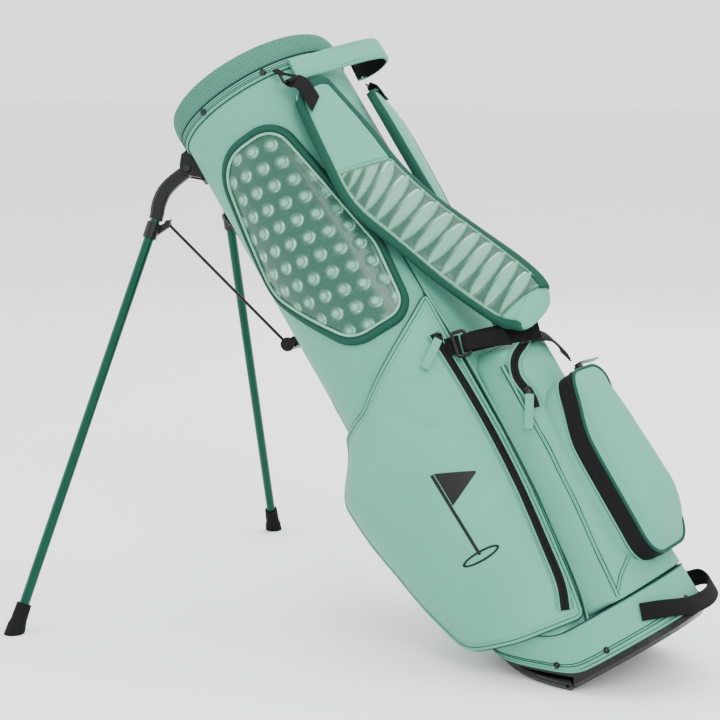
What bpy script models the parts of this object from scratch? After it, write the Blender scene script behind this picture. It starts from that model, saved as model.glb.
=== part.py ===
"""Golf stand bag, leaning on its two legs.

The bag is drawn in its own frame and then leaned: q points from the legs to the shoulder straps,
y across the bag and u up its long axis. That frame hangs on one empty at the kink of the base, the
line where the bag turns about its pedal. Angles round the bag start at 0 on the near side (-y),
reach 90 at the straps (+q) and 270 at the spine, where the legs are.
"""
import math

import bmesh
import bpy
from mathutils import Matrix, Vector

# ---- driving dimensions: metres, and degrees where the name says so ----
LEAN_DEG = 35.3             # lean of the long axis from upright
KINK_X = 0.066              # kink line ahead of the origin, which is the middle of the pedal's sole
PEDAL_LENGTH = 0.132
PEDAL_HALF_WIDTH = 0.108
PEDAL_THICKNESS = 0.0130
TUBE_Q = -0.023             # the tube's middle, seen from the kink line
TUBE_HALF_Q = 0.113
TUBE_HALF_Y = 0.121
WALL = 0.003                # fabric with its foam
GAP = 0.0004                # between pieces that touch
SOFT_GAP = 0.0012           # between faceted curved faces
HEEL_HALF_Q = 0.171
TOE_HALF_Q = 0.075
BASE_HALF_Y = 0.108
BASE_SQUARENESS = 2.4
CUP_CLEARANCE_Z = 0.0190    # underside of the cup over the pedal, above the ground
COLLAR_LOW = 0.8455
RIVETS_DEG = (-4, 40, 78, 184)          # round the collar
PIN_RADIUS = 0.0020                     # pedal hinge pin
LUG_Y = (0.050, 0.062)                  # hinge lugs of the cup, on both sides
CUFF_LOW = 0.8575

LEG_PIVOT = (-0.148, 0.0465, 0.835)     # q, y (far side) and u of the far leg's pivot
LEG_AXIS_TURN_DEG = 30.3                # pivot axis turned from y towards q
FOOT_OUT = 0.4991                       # foot from its pivot, outwards and down the bag
FOOT_DOWN = 0.4249
CLIP_OUT = 0.0653
CLIP_DOWN = 0.0306
BRACE_PIN_OUT = 0.0603
BRACE_PIN_DOWN = 0.0459
YOKE_DOWN = 0.272                       # brace foot pin below the leg pivot, when deployed
LEG_RADIUS = 0.0066
BRACE_RADIUS = 0.0021
BRACE_OFFSET = 0.0145                   # brace plane from the leg plane, along the pivot axis
ROD_RADIUS = 0.0022
ROD_TRAVEL = 0.0374                     # actuator rod, from deployed to stowed
STRAP_TOP_ANCHORS = {"near": (0.073, -0.086, 0.826), "far": (0.077, 0.088, 0.803)}    # rings: q, y, u
STRAP_LOW_ANCHORS = {"near": (0.092, -0.070, 0.425), "far": (0.092, 0.070, 0.425)}    # ladder buckles

LEAN = math.radians(LEAN_DEG)
SIN_LEAN = math.sin(LEAN)
COS_LEAN = math.cos(LEAN)
PEDAL_AXIS = Vector((-PEDAL_THICKNESS / 2 * (1.0 - COS_LEAN) / SIN_LEAN, 0.0, PEDAL_THICKNESS / 2))
FRAME = None                # the empty that the leaning pieces hang on
COLORS = {
    "mint": (0.36, 0.62, 0.51),
    "mint_mesh": (0.33, 0.58, 0.48),
    "teal": (0.06, 0.33, 0.27),
    "black": (0.012, 0.012, 0.013),
    "green_metal": (0.02, 0.24, 0.16),
    "steel": (0.55, 0.55, 0.56),
    "gel": (0.16, 0.38, 0.31),
}


# ---- helpers ----
def clear_scene():
    for thing in list(bpy.data.objects):
        bpy.data.objects.remove(thing)


def make_material(name, color, roughness, metallic):
    material = bpy.data.materials.new(name)
    material.use_nodes = True
    shader = material.node_tree.nodes["Principled BSDF"]
    shader.inputs["Base Color"].default_value = (*color, 1.0)
    shader.inputs["Roughness"].default_value = roughness
    shader.inputs["Metallic"].default_value = metallic
    return material


def make_frame():
    """The leaning frame of the bag: local x is q, local y is y and local z is u."""
    frame = bpy.data.objects.new("bag_frame", None)
    bpy.context.scene.collection.objects.link(frame)
    frame.location = (KINK_X, 0.0, 0.0)
    frame.rotation_euler = (0.0, -LEAN, 0.0)
    return frame


def add(name, mesh_data, look, origin=(0.0, 0.0, 0.0), upright=False):
    """A named object from a bmesh in the bag's frame, or upright in a frame at the kink line."""
    color, roughness, metallic = look
    bmesh.ops.translate(mesh_data, verts=mesh_data.verts, vec=-Vector(origin))
    bmesh.ops.recalc_face_normals(mesh_data, faces=mesh_data.faces)
    mesh = bpy.data.meshes.new(name)
    mesh_data.to_mesh(mesh)
    mesh_data.free()
    mesh.materials.append(make_material(name, COLORS[color], roughness, metallic))
    mesh.shade_smooth()
    mesh.set_sharp_from_angle(angle=math.radians(35))
    piece = bpy.data.objects.new(name, mesh)
    bpy.context.scene.collection.objects.link(piece)
    if upright:
        piece.location = Vector(origin) + Vector((KINK_X, 0.0, 0.0))
    else:
        piece.parent = FRAME
        piece.location = origin
    return piece


def combine(piece, operation, name, mesh_data, upright=False):
    """Union or difference with a helper solid."""
    helper = add(name, mesh_data, PLASTIC, upright=upright)
    helper.hide_render = True
    helper.display_type = "WIRE"
    step = piece.modifiers.new(name, "BOOLEAN")
    step.operation = operation
    step.object = helper


def smooth(value):
    value = min(1.0, max(0.0, value))
    return value * value * (3.0 - 2.0 * value)


def rounded(corners, steps=6):
    """A closed outline of (a, b) points from corners given as (a, b, radius)."""
    outline = []
    count = len(corners)
    for index, (a, b, radius) in enumerate(corners):
        here = Vector((a, b))
        before = Vector(corners[index - 1][:2]) - here
        after = Vector(corners[(index + 1) % count][:2]) - here
        half = before.angle(after) / 2.0
        reach = min(radius / math.tan(half), 0.48 * before.length, 0.48 * after.length)
        radius = reach * math.tan(half)
        middle = here + (before.normalized() + after.normalized()).normalized() * radius / math.sin(half)
        first = here + before.normalized() * reach - middle
        last = here + after.normalized() * reach - middle
        sweep = first.angle_signed(last)
        for step in range(steps + 1):
            turned = first.copy()
            turned.rotate(Matrix.Rotation(-sweep * step / steps, 2))
            outline.append(tuple(middle + turned))
    return outline


def resample(outline, spacing):
    """Extra points on the outline's long straight runs."""
    points = []
    for index, start in enumerate(outline):
        end = outline[(index + 1) % len(outline)]
        pieces = max(1, round(math.dist(start, end) / spacing))
        for piece in range(pieces):
            share = piece / pieces
            points.append(tuple(s + (e - s) * share for s, e in zip(start, end)))
    return points


def grid(rows, closed_rows=False, closed_columns=False):
    """A bmesh of quads over rows of points."""
    made = bmesh.new()
    verts = [[made.verts.new(point) for point in row] for row in rows]
    row_count = len(verts)
    column_count = len(verts[0])
    for i in range(row_count if closed_rows else row_count - 1):
        for j in range(column_count if closed_columns else column_count - 1):
            a = verts[i][j]
            b = verts[i][(j + 1) % column_count]
            c = verts[(i + 1) % row_count][(j + 1) % column_count]
            d = verts[(i + 1) % row_count][j]
            made.faces.new((a, b, c, d))
    return made, verts


def loft(sections):
    """A closed solid through closed sections, with flat ends."""
    made, verts = grid(sections, closed_columns=True)
    made.faces.new(verts[0])
    made.faces.new(verts[-1])
    return made


def ring(sections):
    """A closed solid through closed sections that meet end to end."""
    return grid(sections, closed_rows=True, closed_columns=True)[0]


def pad(outline, centre, inner, outer, rings=5):
    """A closed solid between two crowned faces over one outline.

    inner(a, b) and outer(a, b, share) give the points; share is 0 at the centre, 1 at the outline."""
    made = bmesh.new()

    def face(place):
        middle = made.verts.new(place(centre[0], centre[1], 0.0))
        loops = []
        for step in range(1, rings + 1):
            share = step / rings
            loop = []
            for a, b in outline:
                at = centre[0] + (a - centre[0]) * share
                bt = centre[1] + (b - centre[1]) * share
                loop.append(made.verts.new(place(at, bt, share)))
            loops.append(loop)
        count = len(outline)
        for k in range(count):
            made.faces.new((middle, loops[0][k], loops[0][(k + 1) % count]))
        for low, high in zip(loops, loops[1:]):
            for k in range(count):
                n = (k + 1) % count
                made.faces.new((low[k], high[k], high[n], low[n]))
        return loops[-1]

    top = face(outer)
    bottom = face(lambda a, b, share: inner(a, b))
    for k in range(len(outline)):
        n = (k + 1) % len(outline)
        made.faces.new((top[k], top[n], bottom[n], bottom[k]))
    return made


def circle(middle, side, other, radius, count):
    turns = [math.tau * k / count for k in range(count)]
    return [middle + radius * (math.cos(t) * side + math.sin(t) * other) for t in turns]


def tube_along(points, radii, count=12, across=None):
    """A solid round bar through points, with a radius at each."""
    points = [Vector(p) for p in points]
    sections = []
    for index, point in enumerate(points):
        before = points[max(index - 1, 0)]
        after = points[min(index + 1, len(points) - 1)]
        forward = (after - before).normalized()
        seed = Vector(across) if across else Vector((0.0, 1.0, 0.0))
        if abs(forward.dot(seed)) > 0.9:
            seed = Vector((1.0, 0.0, 0.0))
        side = forward.cross(seed).normalized()
        other = forward.cross(side)
        sections.append(circle(point, side, other, radii[index], count))
    return loft(sections)


def prism(outline, place, low, high):
    """An outline of (a, b) points extruded from low to high with place(a, b, height)."""
    return loft([[Vector(place(a, b, h)) for a, b in outline] for h in (low, high)])


def smooth_path(points, steps):
    """A Catmull-Rom curve through the points."""
    points = [Vector(p) for p in points]
    ends = [2 * points[0] - points[1]] + points + [2 * points[-1] - points[-2]]
    path = []
    for k in range(1, len(ends) - 2):
        p0, p1, p2, p3 = ends[k - 1:k + 3]
        for step in range(steps):
            t = step / steps
            path.append(0.5 * (2 * p1 + (p2 - p0) * t + (2 * p0 - 5 * p1 + 4 * p2 - p3) * t * t
                               + (3 * p1 - p0 - 3 * p2 + p3) * t ** 3))
    path.append(points[-1])
    return path


# ---- the bag's own surfaces ----
def tube_radius(angle):
    return 1.0 / math.hypot(math.sin(angle) / TUBE_HALF_Q, math.cos(angle) / TUBE_HALF_Y)


def base_radius(angle):
    half_q = HEEL_HALF_Q if math.sin(angle) > 0 else TOE_HALF_Q
    n = BASE_SQUARENESS
    total = abs(math.sin(angle) / half_q) ** n + abs(math.cos(angle) / BASE_HALF_Y) ** n
    return total ** (-1.0 / n)


def around(angle, radius, u):
    return Vector((TUBE_Q + radius * math.sin(angle), -radius * math.cos(angle), u))


def on_tube(arc, u, out=0.0):
    """A point on the tube: arc is the distance round it from the near side, in metres."""
    angle = arc / TUBE_MEAN
    return around(angle, tube_radius(angle) + out, u)


def height_of(vector):
    """Height above the ground of a point (or the rise of a direction) given in the bag's frame."""
    return vector.x * SIN_LEAN + vector.z * COS_LEAN


def ground_line(q, height):
    """u where the plane at that height above the ground meets q."""
    return (height - q * SIN_LEAN) / COS_LEAN


def base_line(angle):
    """Lower edge of the boot band: level over the pedal, square to the bag round the heel."""
    q = TUBE_Q + base_radius(angle) * math.sin(angle)
    level = ground_line(q, CUP_CLEARANCE_Z + 0.003)
    square = 0.012
    blend = 0.005
    return square + blend * math.log1p(math.exp((level - square) / blend))


def seam_line(angle):
    return base_line(angle) + 0.051


def tube_face_q(y, out=0.0):
    """q of the strap side of the tube at that y."""
    share = min(0.999, abs(y) / (TUBE_HALF_Y + out))
    return TUBE_Q + (TUBE_HALF_Q + out) * math.sqrt(1.0 - share * share)


TUBE_MEAN = (TUBE_HALF_Q + TUBE_HALF_Y) / 2.0
PANEL_EDGES_DEG = {"near_side_panel": (-50, 60), "strap_side_panel": (60, 120),
                   "far_side_panel": (120, 230), "spine_panel": (230, 310)}
FABRIC = ("mint", 0.5, 0.0)
PLASTIC = ("black", 0.45, 0.0)
WEBBING = ("black", 0.8, 0.0)
STEEL = ("steel", 0.3, 1.0)


def arc_wall(first, last, steps, outer, inner, rows=2):
    """A curved wall from angle first to last; outer and inner give a point at (angle, share up)."""
    sections = []
    for step in range(steps + 1):
        angle = first + (last - first) * step / steps
        up = [outer(angle, k / (rows - 1)) for k in range(rows)]
        down = [inner(angle, k / (rows - 1)) for k in reversed(range(rows))]
        sections.append(up + down)
    return sections


def build_panels():
    slack = GAP / TUBE_MEAN
    for name, (low, high) in PANEL_EDGES_DEG.items():
        def outer(angle, share):
            bottom = seam_line(angle) + GAP
            return around(angle, tube_radius(angle), bottom + (CUFF_LOW - GAP - bottom) * share)

        def inner(angle, share):
            bottom = seam_line(angle) + GAP
            return around(angle, tube_radius(angle) - WALL, bottom + (CUFF_LOW - GAP - bottom) * share)

        steps = round((high - low) / 7.5)
        wall = arc_wall(math.radians(low) + slack / 2, math.radians(high) - slack / 2, steps, outer, inner)
        add(name, loft(wall), FABRIC)


def build_collar():
    def outer(angle, share):
        return around(angle, tube_radius(angle) + 0.0032, COLLAR_LOW + (CUFF_LOW - GAP - COLLAR_LOW) * share)

    def inner(angle, share):
        return around(angle, tube_radius(angle) + GAP, COLLAR_LOW + (CUFF_LOW - GAP - COLLAR_LOW) * share)

    add("collar_band", ring(arc_wall(0, math.tau, 72, outer, inner)[:-1]), FABRIC)

    profile = [(0.0030, 0.0), (0.0045, 0.009), (0.0035, 0.020), (0.0, 0.028), (-0.006, 0.031),
               (-0.012, 0.028), (-0.0145, 0.018), (-0.0135, 0.004), (-0.011, 0.0)]
    sections = []
    for step in range(72):
        angle = math.tau * step / 72
        sections.append([around(angle, tube_radius(angle) + out, CUFF_LOW + up) for out, up in profile])
    add("cuff_pad", ring(sections), ("mint_mesh", 0.8, 0.0))


def build_dividers():
    half = 0.004
    reach_y = TUBE_HALF_Y - WALL - 0.0016
    reach_q = TUBE_HALF_Q - WALL - 0.0016
    cross = [(half, half), (reach_q, half), (reach_q, -half), (half, -half), (half, -reach_y),
             (-half, -reach_y), (-half, -half), (-reach_q, -half), (-reach_q, half), (-half, half),
             (-half, reach_y), (half, reach_y)]
    add("club_divider", prism(cross, lambda a, b, h: (TUBE_Q + a, b, h), 0.785, 0.8565), PLASTIC)
    sheet = [(-0.001, -reach_y), (0.001, -reach_y), (0.001, reach_y), (-0.001, reach_y)]
    low = seam_line(0.0) + 0.004
    add("divider_sheet", prism(sheet, lambda a, b, h: (TUBE_Q + a, b, h), low, 0.785 - GAP), WEBBING)


def build_boot_and_cup():
    def edge(angle, share, out):
        wide = max(base_radius(angle), tube_radius(angle))
        radius = base_radius(angle) + (wide - base_radius(angle)) * share
        low = base_line(angle)
        return around(angle, radius + out, low + (seam_line(angle) - low) * share)

    steps = 72
    boot = arc_wall(0, math.tau, steps, lambda a, s: edge(a, s, 0.0), lambda a, s: edge(a, s, -WALL), rows=3)
    add("boot_band", ring(boot[:-1]), FABRIC)

    def cup_profile(angle):
        line = base_line(angle)
        radius = base_radius(angle)
        lip = line - GAP
        inside = radius - WALL - 0.0008
        return [(radius - 0.008, 0.0), (radius + 0.0006, 0.005), (radius + 0.0006, lip), (inside, lip),
                (inside, line + 0.022), (inside - 0.003, line + 0.022), (inside - 0.003, lip + 0.005)]

    made = bmesh.new()
    loops = []
    for step in range(steps):
        angle = math.tau * step / steps
        loops.append([made.verts.new(around(angle, r, u)) for r, u in cup_profile(angle)])
    for k in range(steps):
        now, after = loops[k], loops[(k + 1) % steps]
        for j in range(len(now) - 1):
            made.faces.new((now[j], now[j + 1], after[j + 1], after[j]))
    made.faces.new([loop[0] for loop in loops])
    floor_strips(made, [loop[-1] for loop in loops])
    cup = add("base_cup", made, PLASTIC)
    cut_pedal_space(cup)


def floor_strips(made, loop):
    """Faces across the cup between points that mirror each other in y."""
    count = len(loop)
    for k in range(count // 2):
        a = loop[(count // 4 + k) % count]
        b = loop[(count // 4 + k + 1) % count]
        c = loop[(count // 4 - k - 1) % count]
        d = loop[(count // 4 - k) % count]
        corners = list(dict.fromkeys((a, b, c, d)))
        if len(corners) > 2:
            made.faces.new(corners)


def upright_slab(outline, low_y, high_y):
    """An outline of (x, z) points extruded across the bag, upright at the kink line."""
    return loft([[Vector((x, y, z)) for x, z in outline] for y in (low_y, high_y)])


def cut_pedal_space(cup):
    """The room for the pedal, level with the ground and open towards the legs, and the hinge lugs."""
    rear = PEDAL_AXIS.x + PEDAL_THICKNESS / 2 + 0.0008
    room = [(-0.4, -0.4), (rear, -0.4), (rear, CUP_CLEARANCE_Z), (-0.4, CUP_CLEARANCE_Z)]
    combine(cup, "DIFFERENCE", "pedal_space", upright_slab(room, -0.2, 0.2), upright=True)
    radius = PEDAL_THICKNESS / 2 - 0.0006
    nose = [(PEDAL_AXIS.x + radius * math.cos(t), PEDAL_AXIS.z + radius * math.sin(t))
            for t in [math.pi * (0.5 + k / 10) for k in range(11)]]
    lug = nose + [(rear + 0.004, PEDAL_AXIS.z - radius + 0.0025), (rear + 0.004, CUP_CLEARANCE_Z + 0.002),
                  (PEDAL_AXIS.x, CUP_CLEARANCE_Z + 0.002)]
    for side in (-1, 1):
        low_y, high_y = sorted(side * y for y in LUG_Y)
        combine(cup, "UNION", "cup_lug", upright_slab(lug, low_y, high_y), upright=True)
    combine(cup, "DIFFERENCE", "cup_bore", pin_bar(0.09, PIN_RADIUS + GAP), upright=True)


def pin_bar(half, radius):
    ends = [PEDAL_AXIS + Vector((0.0, y, 0.0)) for y in (-half, half)]
    return tube_along(ends, [radius] * 2, 16, across=(0.0, 0.0, 1.0))


def build_pedal():
    """The pedal lies flat on the ground under the leaning bag and turns about its rear edge."""
    corner = 0.006
    half_t = PEDAL_THICKNESS / 2
    rear = PEDAL_AXIS.x
    steps = 28
    turns = [math.pi * step / steps for step in range(steps + 1)]
    outline = [(-PEDAL_LENGTH * math.sin(t), -PEDAL_HALF_WIDTH * math.cos(t)) for t in turns]

    def level(inset, z, back):
        shrink = 1.0 - inset / PEDAL_HALF_WIDTH
        front = [Vector((rear + x * shrink, y * shrink, z)) for x, y in outline]
        wide = PEDAL_HALF_WIDTH * shrink
        return [Vector((rear + back, -wide, z))] + front + [Vector((rear + back, wide, z))]

    sections = [level(corner, 0.0, 0.0002)]
    for step in range(1, 8):
        turn = math.pi * (step / 8 - 0.5)
        z = half_t + half_t * math.sin(turn)
        inset = max(0.0, corner - z, 0.003 * (z - (PEDAL_THICKNESS - 0.003)) / 0.003)
        sections.append(level(inset, z, half_t * math.cos(turn)))
    sections.append(level(0.003, PEDAL_THICKNESS, 0.0002))
    pedal = add("pedal", loft(sections), PLASTIC, PEDAL_AXIS, upright=True)
    front = PEDAL_AXIS.x - half_t - 0.0008
    notch = [(front, -0.02), (0.03, -0.02), (0.03, 0.04), (front, 0.04)]
    for side in (-1, 1):
        low_y, high_y = sorted(side * y for y in LUG_Y)
        cutter = upright_slab(notch, low_y - GAP, high_y + GAP)
        combine(pedal, "DIFFERENCE", "lug_notch", cutter, upright=True)
    combine(pedal, "DIFFERENCE", "pedal_bore", pin_bar(0.2, PIN_RADIUS + GAP), upright=True)
    add("pedal_hinge_pin", pin_bar(0.1045, PIN_RADIUS), STEEL, PEDAL_AXIS, upright=True)


def leg_frame(side):
    """Directions out, down and along the pivot axis, and the pivot, for one leg (side -1 is near)."""
    turn = math.radians(LEG_AXIS_TURN_DEG)
    out = Vector((-math.cos(turn), side * math.sin(turn), 0.0))
    down = Vector((0.0, 0.0, -1.0))
    axis = out.cross(down)
    pivot = Vector((LEG_PIVOT[0], side * LEG_PIVOT[1], LEG_PIVOT[2]))
    return out, down, axis, pivot


def bracket_block(at, face_s):
    """The bracket's body, from its flat face back to the wall, and higher up to the collar."""
    def wall_s(n, d, out):
        s = face_s
        for _ in range(6):
            point = at(s, d, n)
            angle = math.atan2(point.x - TUBE_Q, -point.y)
            reach = math.hypot(point.x - TUBE_Q, point.y)
            s -= reach - tube_radius(angle) - out
        return s

    sections = []
    for d, out in ((-0.0235, 0.0042), (-0.0096, 0.0042), (-0.0088, 0.0008), (0.027, 0.0008)):
        across = [-0.0115, -0.005, 0.0, 0.005, 0.0115]
        section = [at(wall_s(n, d, out), d, n) for n in across]
        section += [at(face_s, d, n) for n in reversed(across)]
        sections.append(section)
    return loft(sections)


def build_leg(side, word):
    out, down, axis, pivot = leg_frame(side)
    inward = axis * (1.0 if axis.dot(Vector((0.0, -side, 0.0))) > 0 else -1.0)

    def at(s, d, n=0.0):
        return pivot + out * s + down * d + inward * n

    # bracket: a block that follows the wall, with two cheeks beside the knuckle's eye
    face_s = -0.0102
    cheek = [(face_s - 0.002, -0.023), (face_s - 0.002, 0.022), (0.001, 0.0105), (0.0080, 0.0045),
             (0.0090, -0.0045), (0.0055, -0.0110), (-0.0030, -0.022)]
    bracket = add(word + "_leg_bracket", bracket_block(at, face_s), PLASTIC)
    for n_low, n_high in ((-0.0092, -0.0062), (0.0062, 0.0092)):
        combine(bracket, "UNION", "cheek", prism(cheek, at, n_low, n_high))
    hole = tube_along([at(0, 0, -0.02), at(0, 0, 0.02)], [0.0034] * 2, 16)
    combine(bracket, "DIFFERENCE", "bolt_hole", hole)

    # pivot bolt with two heads
    shank = 0.0096
    stations = [(-shank - 0.0022, 0.0048), (-shank, 0.0055), (-shank, 0.0030), (shank, 0.0030),
                (shank, 0.0055), (shank + 0.0022, 0.0048)]
    sections = [circle(at(0, 0, n), out, down, r, 16) for n, r in stations]
    add(word + "_pivot_bolt", loft(sections), STEEL)

    # knuckle: eye on the bolt, bent arm, socket for the leg tube
    start = at(CLIP_OUT, CLIP_DOWN)
    foot = at(FOOT_OUT, FOOT_DOWN)
    line = (foot - start).normalized()
    length = (foot - start).length
    arm_length = 0.0085
    route = smooth_path([at(0.0, 0.0), at(0.021, 0.0025), at(0.042, 0.0085), at(0.0575, 0.0205), start,
                         start + line * arm_length], 3)
    half_n = 0.0056
    sections = []
    for index, point in enumerate(route):
        before = route[max(index - 1, 0)]
        after = route[min(index + 1, len(route) - 1)]
        forward = (after - before).normalized()
        normal = forward.cross(inward).normalized()
        half_w = 0.0085 + 0.001 * math.sin(math.pi * index / (len(route) - 1))
        corners = ((-half_n, -half_w * 0.6), (-half_n * 0.6, -half_w), (half_n * 0.6, -half_w),
                   (half_n, -half_w * 0.6), (half_n, half_w * 0.6), (half_n * 0.6, half_w),
                   (-half_n * 0.6, half_w), (-half_n, half_w * 0.6))
        sections.append([point + inward * n + normal * w for n, w in corners])
    arm = add(word + "_leg_knuckle", loft(sections), PLASTIC, pivot)
    eye = [(0.0092 * math.cos(t), 0.0092 * math.sin(t)) for t in [math.tau * k / 20 for k in range(20)]]
    combine(arm, "UNION", "eye", prism(eye, at, -0.0057, 0.0057))
    combine(arm, "DIFFERENCE", "eye_bore", tube_along([at(0, 0, -0.02), at(0, 0, 0.02)], [0.0034] * 2, 16))

    # leg tube and clip
    top_end = start + line * (arm_length + 0.0006)
    boot_start = start + line * (length - 0.040)
    add(word + "_leg_tube", tube_along([top_end, boot_start - line * GAP], [LEG_RADIUS] * 2, 20),
        ("green_metal", 0.25, 1.0), pivot)

    # clip: a collar on the tube with an ear that the brace is pinned to
    collar_middle = start + line * 0.024
    side_dir = line.cross(inward).normalized()
    collar_rows = []
    for k in range(24):
        t = math.tau * k / 24
        direction = side_dir * math.cos(t) + inward * math.sin(t)
        low, high = LEG_RADIUS + GAP, LEG_RADIUS + 0.0028
        collar_rows.append([collar_middle + line * x + direction * r for x, r in
                            ((-0.011, low), (-0.011, high), (0.011, high), (0.011, low))])
    clip = add(word + "_leg_clip", ring(collar_rows), PLASTIC, pivot)
    pin_place = at(BRACE_PIN_OUT, BRACE_PIN_DOWN)
    reach = pin_place - collar_middle
    over = (reach - reach.dot(line) * line).normalized()
    root = collar_middle + over * (LEG_RADIUS + GAP + 0.0009)
    ear = [root - line * 0.0105, root + line * 0.004, pin_place + over * 0.005 + line * 0.006,
           pin_place + over * 0.005 - line * 0.006]
    rows = [[p + inward * n for p in ear] for n in (0.0028, 0.0078)]
    combine(clip, "UNION", "clip_ear", loft(rows))

    # rubber foot, flared, its sole level with the ground
    radii = [(0.0, 0.0098), (0.022, 0.0105), (0.030, 0.0122), (0.0405, 0.0128)]
    sections = [circle(boot_start + line * x, side_dir, inward, r, 20) for x, r in radii]
    fall = height_of(line)
    sections[-1] = [point - line * (height_of(point) / fall) for point in sections[-1]]
    add(word + "_foot", loft(sections), ("black", 0.75, 0.0), pivot)


def build_brace(side, word):
    out, down, axis, pivot = leg_frame(side)
    inward = axis * (1.0 if axis.dot(Vector((0.0, -side, 0.0))) > 0 else -1.0)
    low = pivot + down * YOKE_DOWN + inward * BRACE_OFFSET
    high = pivot + out * BRACE_PIN_OUT + down * BRACE_PIN_DOWN + inward * BRACE_OFFSET
    line = (high - low).normalized()
    ends = [low + line * 0.0085, high + line * 0.004]
    rod = add(word + "_brace_rod", tube_along(ends, [BRACE_RADIUS] * 2, 10), ("black", 0.4, 0.6), low)
    eye = tube_along([low - inward * 0.0028, low + inward * 0.0028], [0.0095] * 2, 16)
    combine(rod, "UNION", "brace_eye", eye)
    combine(rod, "UNION", "brace_cap",
            tube_along([high - inward * 0.0042, high + inward * 0.0030], [0.0045] * 2, 14))
    bore = tube_along([low - inward * 0.02, low + inward * 0.02], [0.0027] * 2, 12)
    combine(rod, "DIFFERENCE", "brace_bore", bore)
    return low, inward


def build_actuator():
    """Bent rod from the pedal up the spine, and the yoke that both braces hinge on."""
    outer_q = -0.1545
    lows = [build_brace(side, word) for side, word in ((-1, "near"), (1, "far"))]
    clear_top = PEDAL_THICKNESS + 0.0006
    level = clear_top + ROD_RADIUS
    tip_x = -(clear_top * (1.0 - COS_LEAN) + ROD_TRAVEL) / SIN_LEAN
    tip_q = tip_x * COS_LEAN + level * SIN_LEAN
    yoke_u = lows[0][0].z
    corner_u = ground_line(outer_q, level)
    down_the_spine = [(outer_q, 0.0, yoke_u - 0.0075), (outer_q, 0.0, corner_u + 0.045)]
    bend = [(outer_q, 0.0, corner_u + 0.03), (outer_q + 0.003, 0.0, corner_u + 0.014),
            (outer_q + 0.013, 0.0, ground_line(outer_q + 0.013, level) + 0.0015)]
    level_run = [(outer_q + 0.028, 0.0, ground_line(outer_q + 0.028, level)),
                 (tip_q, 0.0, ground_line(tip_q, level))]
    path = down_the_spine + bend + level_run
    add("actuator_rod", tube_along(path, [ROD_RADIUS] * len(path), 12), ("steel", 0.35, 1.0))

    bar_q = outer_q
    half_y = abs(lows[0][0].y) - 0.0085
    outline = [(-0.006, -0.007), (0.006, -0.007), (0.006, 0.007), (-0.006, 0.007)]
    bar = loft([[Vector((bar_q + a, y, yoke_u + b)) for a, b in outline] for y in (-half_y, half_y)])
    yoke = add("actuator_yoke", bar, PLASTIC)
    for low, inward in lows:
        stub = tube_along([low + inward * 0.0032, low + inward * 0.0115], [0.0075, 0.0075], 14)
        combine(yoke, "UNION", "yoke_stub", stub)
        pin = tube_along([low - inward * 0.0040, low + inward * 0.006], [0.0023] * 2, 12)
        combine(yoke, "UNION", "yoke_pin", pin)

    # spine sleeve: a half tunnel on the spine that the rod slides in
    profile_out = []
    for step in range(13):
        turn = math.pi * step / 12
        profile_out.append((math.cos(turn), math.sin(turn)))
    wall_q = on_tube(-math.pi / 2 * TUBE_MEAN, 0.0).x - 0.0009
    half_w = 0.0105
    depth = wall_q - outer_q + 0.0075
    section = [(wall_q - depth * s, half_w * c) for c, s in profile_out]
    section += [(wall_q - (depth - 0.002) * s, (half_w - 0.002) * c) for c, s in reversed(profile_out)]
    add("spine_sleeve", prism(section, lambda a, b, h: (a, b, h), 0.235, 0.470), FABRIC)


def build_hip_pad():
    corners = [(-0.035, 0.793, 0.036), (0.070, 0.793, 0.024), (0.108, 0.590, 0.06), (0.098, 0.486, 0.036),
               (0.010, 0.484, 0.05), (-0.079, 0.610, 0.06)]
    outline = resample(rounded(corners), 0.020)
    add("hip_pad", pad(outline, (0.020, 0.640), lambda a, b: on_tube(a, b, 0.0018),
                       lambda a, b, s: on_tube(a, b, 0.006 + 0.006 * (1 - s ** 4))), ("gel", 0.5, 0.0))


BLOCK_Q = 0.146             # middle of the strap-side pocket block
BLOCK_TOP = 0.407
BALL_Q = 0.200              # outer face of the ball pocket
BALL_EDGE_Q = 0.168
APPAREL_TOP = [(-0.115, 0.402), (-0.020, 0.417), (0.125, 0.509)]      # (arc, u)
SPLIT_ARC = [(0.062, 0.0870), (0.115, 0.0965), (0.235, 0.1120), (0.310, 0.1175), (0.500, 0.1210)]


def between(stations, value):
    """Straight-line value between (place, value) stations, running on past both ends."""
    for (p0, v0), (p1, v1) in zip(stations, stations[1:]):
        if value <= p1:
            break
    return v0 + (v1 - v0) * (value - p0) / (p1 - p0)


def apparel_top(arc):
    """u of the apparel pocket's slanted top edge."""
    return between(APPAREL_TOP, arc)


def split_arc(u):
    """Where the side pockets end and the strap-side block starts."""
    return between(SPLIT_ARC, u)


def apparel_height(arc, u):
    """How far the apparel pocket's face stands off the tube: most at its upper corner by the spine."""
    sideways = smooth((0.128 - arc) / 0.21)
    down = smooth((apparel_top(arc) + 0.004 - u) / 0.085)
    low_end = 1.0 - 0.75 * smooth((0.35 - u) / 0.28)
    return 0.0045 + 0.043 * sideways * down * low_end + 0.003 * smooth((0.120 - arc) / 0.05)


def apparel_face(arc, u, out=0.0):
    return on_tube(arc, u, apparel_height(arc, u) + out)


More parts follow.
